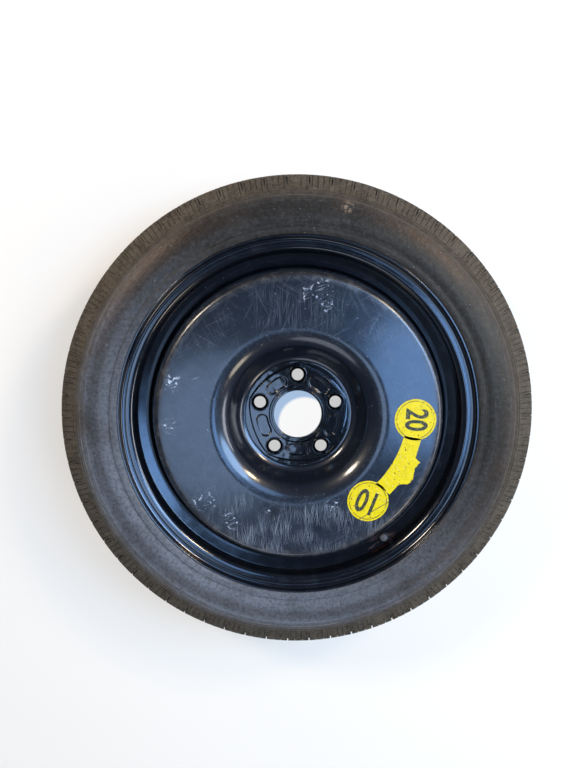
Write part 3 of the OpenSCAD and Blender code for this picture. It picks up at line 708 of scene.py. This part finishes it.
# %% The pitch copied round the wheel
spin(pitch_mesh, NOTCHES - 1, angle=pitch * (NOTCHES - 1), copies=True)
bmesh.ops.remove_doubles(pitch_mesh, verts=pitch_mesh.verts[:], dist=0.00002)
print("open edges round the tyre:", sum(len(e.link_faces) != 2 for e in pitch_mesh.edges))
tyre = make_piece(pitch_mesh, "tyre_casing", ["tyre"], sharp=38, weld=False)

# %% [markdown]
# ## Valve
# A snap-in valve is a brass tube with rubber moulded round it, pulled through a hole in the rim's ledge.
# The cap is moulded plastic with a domed top and shallow flutes. All of it is drawn upright at the origin
# and then leaned over into its place.

# %% The valve's place
VALVE_ANGLE, VALVE_DOWN = math.radians(305), 10.6
foot_r = HUMP_R - VALVE_DOWN * math.cos(LEDGE) - SHEET * math.sin(LEDGE)
foot_z = MID_Z + WALL - 20.3 - VALVE_DOWN * math.sin(LEDGE) + SHEET * math.cos(LEDGE)
valve_place = (Matrix.Rotation(VALVE_ANGLE, 4, "Z") @ Matrix.Translation((foot_r * MM, 0, foot_z * MM))
               @ Matrix.Rotation(-LEDGE, 4, "Y"))
print("valve foot at", [round(c, 4) for c in valve_place.translation])


def stand_on_ledge(bm):
    bmesh.ops.transform(bm, matrix=valve_place, verts=bm.verts)


# %% [markdown]
# The body's foot is wider than the hole, and a waist of the sheet's thickness holds it there. Above the
# ledge it narrows to the stem.

# %% Rubber body
rubber_mesh = bmesh.new()
wire(rubber_mesh, [
    (3, -6.2), (7.2, -6.2, 0.8), (8.4, -5, 1.0), (8.4, -3.4, 0.6), (6.5, -2.6, 0.5), (5.55, -2.6, 0.3),
    (5.55, 0.1, 0.2), (6.5, 0.1, 0.3), (6.5, 2.6, 1.5), (5.5, 9.5, 9), (5.1, 18.9, 1.0),
    (4.2, 20.3, 0.5), (3, 20.3),
], step=0.8, closed=True)
spin(rubber_mesh, 48)
stand_on_ledge(rubber_mesh)
rubber = make_piece(rubber_mesh, "valve_rubber", ["valve_body"], sharp=50)

# %% [markdown]
# Spin with a step along its axis makes a helix. A small wire drawn that way is the stem's thread, with
# the fine pitch that all tyre valves share.

# %% Stem with its thread
stem_mesh = bmesh.new()
wire(stem_mesh, [
    (1.9, -6.2), (3, -6.2), (3, 20.8), (3.35, 20.8), (3.35, 30.5, 0.2), (3.0, 31, 0.1), (2.95, 31),
    (2.55, 30.6), (2.55, 24), (1.9, 22.8),
], step=1.5, closed=True)
spin(stem_mesh, 48)
thread = bmesh.new()
PITCH, TURNS, SECTORS = 0.79, 11, 24
wire(thread, [(3.3, 21.1), (3.85, 21.45), (3.85, 21.55), (3.3, 21.9)], step=5, closed=True)
spin(thread, SECTORS * TURNS, angle=TURN * TURNS, rise=PITCH * MM / SECTORS)
bmesh.ops.holes_fill(thread, edges=[e for e in thread.edges if e.is_boundary], sides=6)
join(stem_mesh, thread)
stand_on_ledge(stem_mesh)
stem = make_piece(stem_mesh, "valve_stem_threaded", ["valve_stem"], sharp=35)

# %% [markdown]
# The cap is a cup with a domed top. It is spun with eight steps to each of its 14 flutes, and its outer
# wall is pressed in along a wave that fades out below the dome and at the mouth.

# %% Cap with its flutes
CAP_MOUTH, CAP_TOP, CAP_IN, CAP_OUT = 21.0, 32.9, 4.1, 4.9
FLUTES, FLUTE_DEPTH, FLUTE_LOW, FLUTE_HIGH = 14, 0.085, 21.4, 31.4
cap_mesh = bmesh.new()
wire(cap_mesh, [(CAP_IN, CAP_MOUTH), (CAP_OUT, CAP_MOUTH, 0.3), (CAP_OUT, 32.1, 2.2), (0, CAP_TOP)], step=0.6)
cap_inside = bmesh.new()
wire(cap_inside, [(CAP_IN, CAP_MOUTH), (CAP_IN, 31.3, 0.4), (0, 31.3)], step=1.0)
join(cap_mesh, cap_inside)
spin(cap_mesh, 8 * FLUTES)
for v in cap_mesh.verts:
    r, angle, z = polar(v)
    if r > CAP_OUT - 0.3 and FLUTE_LOW < z < FLUTE_HIGH:
        wave = max(0.0, math.cos(FLUTES * angle)) ** 3
        v.co.xy *= 1 - FLUTE_DEPTH * wave * min(1, (z - FLUTE_LOW) / 0.6, (FLUTE_HIGH - z) / 1.2)
stand_on_ledge(cap_mesh)
cap = make_piece(cap_mesh, "valve_cap_domed", ["valve_cap"], body="cap", sharp=50)

# %% [markdown]
# ## Label
# A yellow film was stuck to the disc: two round ends joined by a strap, with a torn tab on the outer
# side. The torn edge is split finely and moved at random, from a fixed seed, so that it comes out the
# same each run.

# %% Film outline
LABEL_T = 0.3
FIRST_R, FIRST_ANGLE = 152.6, -1.1
SECOND_R, SECOND_ANGLE = 143.9, -50.5
END_R, STRAP_OUT, STRAP_IN, TAB = 27.3, 12, 11, 12
random.seed(17)


def on_strap(degrees, out):
    """A point out mm outside the line that joins the two ends, at this angle."""
    share = (degrees - FIRST_ANGLE) / (SECOND_ANGLE - FIRST_ANGLE)
    r = FIRST_R + (SECOND_R - FIRST_R) * share + out
    a = math.radians(degrees)
    return Vector((r * math.cos(a), r * math.sin(a)))


end_points = [on_strap(FIRST_ANGLE, 0), on_strap(SECOND_ANGLE, 0)]
# angle, and how much of the tab is left there
tear = [
    (-10, 0), (-14.5, 0), (-19.3, 0.1), (-20.6, 0.8), (-23.9, 0.55), (-26.6, 0.75), (-28.8, 1),
    (-31.6, 0.85), (-32.9, 0.3), (-34.7, 0), (-38, 0), (-41, 0),
]
torn_side = []
for (a, h), (b, k) in zip(tear, tear[1:]):
    for i in range(6):
        t = i / 6
        rough = 0.0 if (a > -18 or a < -34) else random.uniform(-0.7, 0.5)
        torn_side.append(on_strap(a + (b - a) * t, STRAP_OUT + TAB * (h + (k - h) * t) + rough))
plain_side = [on_strap(-41 + 31 * i / 16, -STRAP_IN) for i in range(17)]
print("torn side has", len(torn_side), "points")

# %% [markdown]
# The strap and the two round ends are three flat faces, and the strap reaches a little way over the ends.
# The edge of a round end is moved in or out by up to 0.12 mm, as a worn edge is.

# %% Faces of the film
label_mesh = bmesh.new()
film_z = (RING_Z + 0.02) * MM
strap_verts = [label_mesh.verts.new((p.x * MM, p.y * MM, film_z)) for p in torn_side + plain_side]
bmesh.ops.contextual_create(label_mesh, geom=strap_verts)
for centre in end_points:
    place = Matrix.Translation((centre.x * MM, centre.y * MM, film_z))
    round_end = bmesh.ops.create_circle(
        label_mesh, cap_ends=True, segments=96, radius=END_R * MM, matrix=place)
    for v in round_end["verts"]:
        v.co.xy += (v.co.xy - centre * MM).normalized() * random.uniform(-0.12, 0.1) * MM
print("film outline has", len(label_mesh.verts), "points")

# %% [markdown]
# The faces are drawn up to the film's thickness. Along the tear the film is stretched thinner, so the top
# edge comes down there and catches the light.

# %% Film thickness, the thin torn edge, and the finished film
top = bmesh.ops.extrude_face_region(label_mesh, geom=label_mesh.faces[:])
raised = [v for v in top["geom"] if isinstance(v, bmesh.types.BMVert)]
bmesh.ops.translate(label_mesh, vec=(0, 0, (LABEL_T - 0.04) * MM), verts=raised)
torn_places = [p * MM for p in torn_side[14:54]]
for v in label_mesh.verts:
    to_tear = min((v.co.xy - p).length for p in torn_places)
    if to_tear < 0.6 * MM and v.co.z > (RING_Z + 0.1) * MM:
        v.co.z -= 0.1 * MM
label = make_piece(label_mesh, "label_film", ["label"], sharp=40)

# %% [markdown]
# The film's print isn't copied. In its place stand plain numbers, as on a dial, in thin strokes. They are
# text turned into mesh, so that they can be squeezed and set in place there and the object itself stays
# unturned.

# %% Plain numbers on the two round ends
INK_HALF, STROKE_GROWTH = 0.012, 0.95


def number(word, name, centre, angle, height, squeeze):
    """A number of this height in mm, narrowed by squeeze and turned by angle degrees."""
    curve = bpy.data.curves.new(name, "FONT")
    curve.body, curve.align_x, curve.align_y, curve.size = word, "CENTER", "CENTER", height * MM
    curve.extrude, curve.offset = INK_HALF * MM, STROKE_GROWTH * MM
    letters = show(name, curve)
    bpy.context.view_layer.update()
    mesh = bpy.data.meshes.new_from_object(letters)
    bpy.data.objects.remove(letters)
    bm = bmesh.new()
    bm.from_mesh(mesh)
    bpy.data.meshes.remove(mesh)
    bmesh.ops.scale(bm, vec=(squeeze, 1, 1), verts=bm.verts)
    place = Matrix.Translation((centre.x * MM, centre.y * MM, (RING_Z + LABEL_T + 0.02) * MM))
    bmesh.ops.transform(bm, matrix=place @ Matrix.Rotation(math.radians(angle), 4, "Z"), verts=bm.verts)
    return make_piece(bm, name, weld=False)


numbers = [
    number("20", "label_number_first", end_points[0], -93, 40, 0.74),
    number("10", "label_number_second", end_points[1], 158, 43, 0.72),
]

# %% [markdown]
# ## Patterns and layers
# Patterns read Object coordinates, which are metres here, so a noise scale of one over the grain size
# gives grain of that size. Wear follows the wheel's round, so each material starts from the distance to
# the axis and the angle round it.

# %% Place on the wheel
def place_on_wheel():
    """Object coordinates, distance from the axis in mm, angle in degrees and height in mm."""
    coords = add("TexCoord", out="Object")
    axes = add("SeparateXYZ", {0: coords}).node.outputs
    flat = add("VectorMath", {0: coords, 1: (1 / MM, 1 / MM, 0)}, operation="MULTIPLY")
    radius = add("VectorMath", {0: flat}, out="Value", operation="LENGTH")
    turned = add("Math", {0: axes["Y"], 1: axes["X"]}, operation="ARCTAN2")
    angle = add("Math", {0: turned, 1: 360 / TURN}, operation="MULTIPLY")
    high = add("Math", {0: axes["Z"], 1: 1 / MM}, operation="MULTIPLY")
    return coords, radius, angle, high


# %% [markdown]
# Grain is noise of a stated size. Stretched a long way in one direction, the same noise gives the fine
# streaks that sliding luggage leaves, so scratches need no pattern of their own.

# %% Grain, scratches and spots
def grain(coords, size_mm, detail=2.0, stretch=None, spin_deg=0.0, rough=0.5):
    """Noise of a grain size; stretch makes it longer along the three axes, after a turn about Z."""
    if stretch:
        way = (0, 0, math.radians(spin_deg))
        coords = add("Mapping", {"Vector": coords, "Rotation": way, "Scale": stretch}, vector_type="TEXTURE")
    return add("TexNoise", {
        "Vector": coords, "Scale": 1 / (size_mm * MM), "Detail": detail, "Roughness": rough})


def scratches(coords, width_mm, long_mm, way_deg, low):
    """Thin streaks of about this width and length, lying at way_deg from the X axis."""
    lines = grain(coords, 1.0, 0.0, (long_mm, width_mm, width_mm), way_deg)
    return ramp(lines, low, low + 0.05)


def near(coords, angle, radius, size_mm):
    """1 within size_mm of a spot on the disc's ring, fading to 0 at twice that distance."""
    spot = Vector((radius, 0, RING_Z))
    spot.rotate(Euler((0, 0, math.radians(angle))))
    far = add("VectorMath", {0: coords, 1: tuple(spot * MM)}, out="Value", operation="DISTANCE")
    return ramp(far, 2 * size_mm * MM, size_mm * MM)


# %% [markdown]
# A finish is built up like paint: a ground tone, then layer on layer, each with its mask. Roughness and
# relief read the same masks, so that a scratch is pale, dull and sunk at once.

# %% Layers of colour, and their links to the shader
def cover(tone, *layers):
    """Lays layers over a tone. A layer is its mask and its colour, a hex code or an output."""
    for share, over in layers:
        tone = add("Mix", {0: share, 6: tone, 7: over}, out=2, data_type="RGBA")
    return tone


def level(value, *layers):
    """The same for a number, such as roughness."""
    for share, over in layers:
        value = add("Mix", {0: share, 2: value, 3: over}, data_type="FLOAT")
    return value


def finish(shader, tone, rough, height, depth_mm, strength, coat_rough=None):
    """Links tone, roughness and a relief of depth_mm to the shader, and to its coat if it has one."""
    relief = add("Bump", {"Height": height, "Distance": depth_mm * MM, "Strength": strength})
    links = {"Base Color": tone, "Roughness": rough, "Normal": relief}
    if coat_rough is not None:
        links.update({"Coat Roughness": coat_rough, "Coat Normal": relief})
    for name, output in links.items():
        trees[-1].links.new(output, shader.inputs[name])


# %% [markdown]
# ## Dip-coated steel
# Rim and disc are dipped in black epoxy and baked. The coat is glossy with a faint orange peel, so the
# shader has a dark base under a clear coat. Luggage has rubbed the flat ring: dense upright scuffs at the
# bottom, fewer at the top, and long thin scratches all over. Each field is a mask of place times a mask
# of streaks. A scratch is drawn about 0.4 mm wide, coarser than it is, since a finer one wouldn't show.

# %% Wear on the disc
KNOCKS = [
    # angle and radius of a spot where something hard hit the ring, and the spot's size in mm
    (80, 168, 9), (88, 160, 6), (222, 167, 9), (237, 162, 8), (292, 123, 6),
    (252, 129, 4), (164, 170, 7), (158, 143, 3), (183, 168, 6), (75, 150, 6),
]


def disc_wear(coords, radius, angle, high):
    """Masks of the scuffed paint, of bare knocks and of the haze among the lower scuffs."""
    on_ring = all_of(window(radius, 103, 184, 6), window(high, 39, 60, 2))
    bottom = all_of(on_ring, window(angle, -122, -58, 14), window(radius, 124, 178, 12))
    top = all_of(on_ring, window(angle, 72, 108, 10), window(radius, 124, 172, 10))
    patchy = ramp(grain(coords, 34, 3), 0.36, 0.60)
    upright = scratches(coords, 0.40, 38, 91, 0.665)
    leaning = scratches(coords, 0.40, 44, 76, 0.69)
    falling = scratches(coords, 0.40, 36, 104, 0.69)
    across = scratches(coords, 0.45, 26, 24, 0.68)
    dense = all_of(any_of(upright, leaning, falling), bottom, patchy, 0.75)
    some = all_of(any_of(leaning, upright), top, patchy, 0.3)
    few = all_of(any_of(across, leaning, falling), on_ring, ramp(grain(coords, 30, 3), 0.5, 0.66), 0.2)
    thin = [scratches(coords, 0.5, 60, way, 0.77) for way in (28, 62, 118, 150)]
    thin = all_of(any_of(*thin), on_ring, 0.32)
    specks = ramp(grain(coords, 2.0), 0.74, 0.77)
    worn = any_of(dense, some, few, thin, all_of(specks, 0.6))
    rubs = any_of(ramp(grain(coords, 5.0, 4), 0.60, 0.64), scratches(coords, 0.5, 16, 22, 0.72))
    knocked = all_of(any_of(*[near(coords, *knock) for knock in KNOCKS]), rubs)
    bare = any_of(knocked, all_of(specks, 0.4))
    haze = all_of(bottom, ramp(grain(coords, 22, 4), 0.35, 0.7), 0.5)
    return worn, bare, haze


# %% [markdown]
# Dust lies on the crown, and rust has started at a few chips on the hub pad. The pad is glossier and
# blacker than the ring. Its reflections waver in the photo, as paint does that ran before it was dry, so
# its relief has a slow wave.

# %% Paint on the disc
def disc_paint():
    material, shader = new_material(
        "black dip coat on pressed steel, scuffed", IOR=1.5, Specular_IOR_Level=0.3, Coat_Weight=1.0,
        Coat_IOR=1.55)
    coords, radius, angle, high = place_on_wheel()
    worn, bare, haze = disc_wear(coords, radius, angle, high)
    pad = window(radius, 0, 72, 3)
    dust = all_of(window(radius, 180, 190, 4), window(high, 30, 60, 3))
    dust = all_of(dust, ramp(grain(coords, 12, 4), 0.3, 0.7))
    rust = all_of(window(radius, 42, 66, 1), ramp(grain(coords, 3, 3), 0.68, 0.74))
    tone = cover(
        "#080b11", (ramp(grain(coords, 60, 3), 0.3, 0.7), "#0d121b"),
        (pad, "#030406"), (all_of(haze, 0.5), "#3c424a"), (all_of(dust, 0.55), "#4a443b"),
        (all_of(worn, 0.75), "#a2a6aa"), (all_of(bare, 0.85), "#c2c5c9"), (rust, "#5d3320"))
    coat_rough = level(
        0.11, (ramp(grain(coords, 9, 4), 0.3, 0.75), 0.19), (pad, 0.06),
        (any_of(haze, all_of(dust, 0.8)), 0.36), (worn, 0.5))
    rough = level(0.38, (pad, 0.15), (worn, 0.6))
    peel = all_of(grain(coords, 3.2), 0.06)
    wave = all_of(window(radius, 0, 70, 3), grain(coords, 15, 1))
    height = add("Math", {0: wave, 1: 10.0, 2: peel}, operation="MULTIPLY_ADD")
    height = add("Math", {0: worn, 1: -0.6, 2: height}, operation="MULTIPLY_ADD")
    finish(shader, tone, rough, height, 0.06, 0.6, coat_rough)
    return material


dress(disc_paint(), disc)

# %% [markdown]
# The rim has some dust and one rust run below the valve. The band inside its lip was formed by a roller,
# which leaves fine rings: they are drawn 3.3 mm apart, coarser than they are, so that a camera at this
# distance can show them.

# %% Paint on the rim and over the welds
RING_PITCH = 3.3


def rim_paint(name, grime):
    material, shader = new_material(name, IOR=1.5, Specular_IOR_Level=0.3, Coat_Weight=1.0, Coat_IOR=1.55)
    coords, radius, angle, high = place_on_wheel()
    dusty = all_of(ramp(grain(coords, 16, 4), 0.45, 0.75), grime)
    run = all_of(
        window(angle, -62, -53, 3), window(radius, 203, 217, 3), window(high, 6, 22, 3),
        ramp(grain(coords, 4, 3, (3, 1, 1), 35), 0.50, 0.66), 0.5)
    specks = ramp(grain(coords, 1.8), 0.735, 0.77)
    dull = any_of(dusty, run)
    tone = cover(
        "#06080c", (ramp(grain(coords, 50, 3), 0.3, 0.7), "#0a0d13"),
        (all_of(dusty, 0.5), "#3d3a35"), (all_of(specks, 0.5), "#8a8c8e"), (run, "#6b3d22"))
    coat_rough = level(0.08, (ramp(grain(coords, 12, 3), 0.3, 0.7), 0.14), (dull, 0.4))
    rough = level(0.14, (dull, 0.6))
    turned = add("Math", {0: radius, 1: TURN / RING_PITCH}, operation="MULTIPLY")
    waves = add("Math", {0: turned}, operation="SINE")
    rolled = all_of(waves, window(radius, 219, 233, 2), window(high, 32, 60, 3))
    peel = grain(coords, 3.2)
    height = add("Math", {0: peel, 1: 0.1, 2: rolled}, operation="MULTIPLY_ADD")
    finish(shader, tone, rough, height, 0.04, 1.0, coat_rough)
    return material


dress(rim_paint("black dip coat on rolled steel", 0.15), rim)
dress(rim_paint("black dip coat over weld beads", 0.9), welds)

# %% [markdown]
# ## Tyre rubber
# Tyre rubber is almost black, and a powdery bloom lifts it to a dull grey. Towards the lower left it is
# painted paler still, as painted light, and its mottling shows more there.
# The wall shines a little and has faint rings from the mould, mottling and pits. The shoulder carries
# brown dust and grit. Between its notches the mould had thin blades, which leave narrow cuts called
# sipes. Here they are dark marks of painted shade, where the cuts would be in shade.

# %% Tones of the tyre's wall and shoulder
SIPES = 264


def wall_tone(coords, bloom_and_painted_light, cloudy, rings):
    """The wall's colour: black rubber, a powdery grey with painted light, the mould's rings, mottling and
    pits.
    """
    mottled = ramp(grain(coords, 6.5, 5, rough=0.72), 0.44, 0.62)
    # mottling shows more where the wall is painted lighter, as painted light
    mottled = all_of(mottled, level(0.3, (bloom_and_painted_light, 1.0)), 0.4)
    pitted = ramp(grain(coords, 4.2, 4, rough=0.7), 0.46, 0.60)
    return cover(
        "#1b1a19", (cloudy, "#2a2826"), (bloom_and_painted_light, "#686b6f"),
        (all_of(ramp(rings, 0.5, 0.8), 0.3), "#4e4c48"), (mottled, "#72706c"),
        (all_of(pitted, 0.4), "#12100e"))


def shoulder_tone(coords, radius, angle):
    """The colour of brown road dust and grit, and a mask of painted shade in the fine cuts between the
    notches.
    """
    gritty = ramp(grain(coords, 3.2, 5, rough=0.7), 0.40, 0.64)
    turns = add("Math", {0: angle, 1: SIPES / 360}, operation="MULTIPLY")
    turned = add("Math", {0: turns}, operation="FRACT")
    # dark marks of painted shade where the sipes are cut
    painted_sipe_shade = all_of(
        window(turned, 0.44, 0.56, 0.07), ramp(radius, 289, 294),
        ramp(grain(coords, 20), 0.38, 0.5), 0.75)
    dust = cover(
        "#2b261f", (ramp(grain(coords, 14, 5), 0.3, 0.7), "#4d4538"),
        (all_of(gritty, 0.6), "#655a4b"))
    return dust, painted_sipe_shade


# %% [markdown]
# Wall and shoulder meet in a soft band. Two fine lines run round it, where the rings of the mould met,
# and the relief lifts them too; their pale tone is a painted highlight, strongest on the lower left. Over
# all of it lie a belt of painted shade, nicks, one smear and mud.

# %% Rubber of the tyre
# the wall is painted paler towards this side, as painted light mixed with bloom
BLOOM_AND_LIGHT_SIDE = math.radians(232)


def tyre_rubber():
    material, shader = new_material(
        "moulded tyre rubber, dusty", IOR=1.5, Specular_IOR_Level=0.36, Specular_Tint="#ffd9ae")
    coords, radius, angle = place_on_wheel()[:3]
    to_shoulder = ramp(radius, 277, 292)
    cloudy = ramp(grain(coords, 45, 4), 0.3, 0.7)
    side = (math.cos(BLOOM_AND_LIGHT_SIDE), math.sin(BLOOM_AND_LIGHT_SIDE), 0)
    across = add("VectorMath", {0: coords, 1: side}, out="Value", operation="DOT_PRODUCT")
    # bloom and painted light: the wall is painted paler towards the lower left, in patches
    bloom_and_painted_light = all_of(ramp(across, -0.10, 0.24), ramp(grain(coords, 60, 3), 0.1, 0.5))
    rings = add("TexNoise", {"W": radius, "Scale": 1.35, "Detail": 1.0}, noise_dimensions="1D")
    dust, painted_sipe_shade = shoulder_tone(coords, radius, angle)
    # the fine lines' pale tone is a painted highlight, much stronger on the lower left
    fine_line = window(radius, 276.2, 276.7, 0.5)
    lines = any_of(window(radius, 283.1, 283.8, 0.5), all_of(fine_line, 0.8))
    lines = all_of(lines, ramp(grain(coords, 18, 3), 0.3, 0.55))
    smear = all_of(near(coords, 77, 274, 5), ramp(grain(coords, 5, 4), 0.46, 0.56), 0.6)
    mud = all_of(ramp(grain(coords, 38, 4), 0.56, 0.68), ramp(radius, 255, 285), 0.35)
    tone = cover(
        wall_tone(coords, bloom_and_painted_light, cloudy, rings), (to_shoulder, dust),
        (painted_sipe_shade, "#100f0c"), (all_of(lines, level(0.12, (bloom_and_painted_light, 0.6))), "#8b867a"),
        # a belt of painted shade round the wall
        (all_of(window(radius, 262, 270, 5), 0.35), "#131210"),
        (all_of(ramp(grain(coords, 3.0), 0.73, 0.76), 0.7), "#8f877a"),
        (smear, "#9a8467"), (mud, "#4d3f30"))
    rough = level(0.36, (to_shoulder, 0.72), (all_of(cloudy, 0.4), 0.6))
    blotches = ramp(grain(coords, 7, 4, rough=0.6), 0.44, 0.58)
    fine = grain(coords, 2.2, 4, rough=0.65)
    height = rings
    for part, share in ((blotches, 0.8), (fine, 0.6), (lines, 1.5)):
        height = add("Math", {0: part, 1: share, 2: height}, operation="MULTIPLY_ADD")
    finish(shader, tone, rough, height, 0.16, 0.8)
    return material


dress(tyre_rubber(), tyre)

# %% [markdown]
# ## Label film
# The film is bright yellow vinyl with a thin printed ring round each number. It is rubbed pale in spots,
# grime sits in its texture, one score runs across the lower end, and chips show brown rust.

# %% Yellow film
SCORE_WAY = (-0.515, 0.857, 0)


def yellow_film():
    material, shader = new_material("yellow vinyl film, worn", IOR=1.48, Specular_IOR_Level=0.25)
    coords = add("TexCoord", out="Object")
    flat = add("VectorMath", {0: coords, 1: (1, 1, 0)}, operation="MULTIPLY")
    rings = []
    for centre in end_points:
        middle = (centre.x * MM, centre.y * MM, 0)
        far = add("VectorMath", {0: flat, 1: middle}, out="Value", operation="DISTANCE")
        rings.append(window(far, 24.2 * MM, 24.9 * MM, 0.3 * MM))
    printed = all_of(any_of(*rings), ramp(grain(coords, 5, 3), 0.36, 0.5), 0.85)
    grimy = ramp(grain(coords, 3.0, 5, rough=0.7), 0.50, 0.66)
    rubbed = ramp(grain(coords, 3.4, 4), 0.60, 0.70)
    along = add("VectorMath", {0: coords, 1: SCORE_WAY}, out="Value", operation="DOT_PRODUCT")
    scored = all_of(
        window(along, -157.8 * MM, -157.0 * MM, 0.3 * MM),
        ramp(grain(coords, 7, 3), 0.36, 0.44), 0.8)
    torn_chip = all_of(near(coords, -29.6, 173, 2.0), ramp(grain(coords, 3, 3), 0.45, 0.5))
    chips = any_of(ramp(grain(coords, 4.2, 3), 0.665, 0.69), torn_chip)
    tone = cover(
        "#eccf00", (ramp(grain(coords, 10, 4), 0.3, 0.7), "#e0c300"),
        (all_of(grimy, 0.35), "#a39000"), (all_of(rubbed, 0.6), "#d8d29a"),
        (printed, "#3a351a"), (scored, "#3a3526"), (chips, "#7a4a20"))
    finish(shader, tone, level(0.38, (rubbed, 0.6)), grain(coords, 6, 3), 0.03, 0.6)
    return material


dress(yellow_film(), label)

# %% [markdown]
# The ink is thin. Where it is rubbed, the yellow below shows.

# %% Ink of the numbers
def number_ink():
    material, shader = new_material("black print, half rubbed off", IOR=1.48, Roughness=0.5)
    coords = add("TexCoord", out="Object")
    rubbed = ramp(grain(coords, 2.2, 4), 0.54, 0.68)
    trees[-1].links.new(cover("#2b2817", (rubbed, "#8f8628")), shader.inputs["Base Color"])
    return material


dress(number_ink(), *numbers)

# %% [markdown]
# ## Valve finishes
# One function makes all the valve's finishes: two tones of a colour, a range of roughness and a fine
# bump. The core's parts are tiny and hidden in the stem, so they keep their solids and only get a finish.

# %% Valve materials
def plain_finish(name, tone, dark, size_mm, rough, metallic=0.0, depth_mm=0.01):
    """A finish with two tones of one colour, a roughness range and a fine bump."""
    material, shader = new_material(name, Metallic=metallic)
    coords = add("TexCoord", out="Object")
    share = ramp(grain(coords, size_mm, 4), 0.35, 0.68)
    finish(
        shader, cover(tone, (share, dark)), level(rough[0], (share, rough[1])),
        grain(coords, size_mm / 6), depth_mm, 0.7)
    return material


dress(plain_finish("moulded valve rubber", "#1d1e20", "#2f2f2f", 3, (0.45, 0.65)), rubber)
brass = plain_finish("turned brass, dulled", "#b48c45", "#86652f", 1.2, (0.25, 0.45), 1.0, 0.003)
dress(brass, stem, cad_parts["core_plug"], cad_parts["core_pin"])
dress(plain_finish("moulded grey plastic, dusty", "#4c4c4b", "#3c3a37", 2.5, (0.4, 0.65)), cap)
finishes = {
    "core_gasket": plain_finish("moulded white seal plastic", "#e2ded2", "#cfc9b8", 1, (0.35, 0.5)),
    "core_washer": plain_finish("moulded black rubber washer", "#1a1a1b", "#242424", 0.8, (0.5, 0.7)),
    "core_spring": plain_finish("drawn spring wire", "#b5b7ba", "#8c8f93", 0.5, (0.2, 0.35), 1.0, 0.002),
}
for node, material in finishes.items():
    dress(material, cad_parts[node])
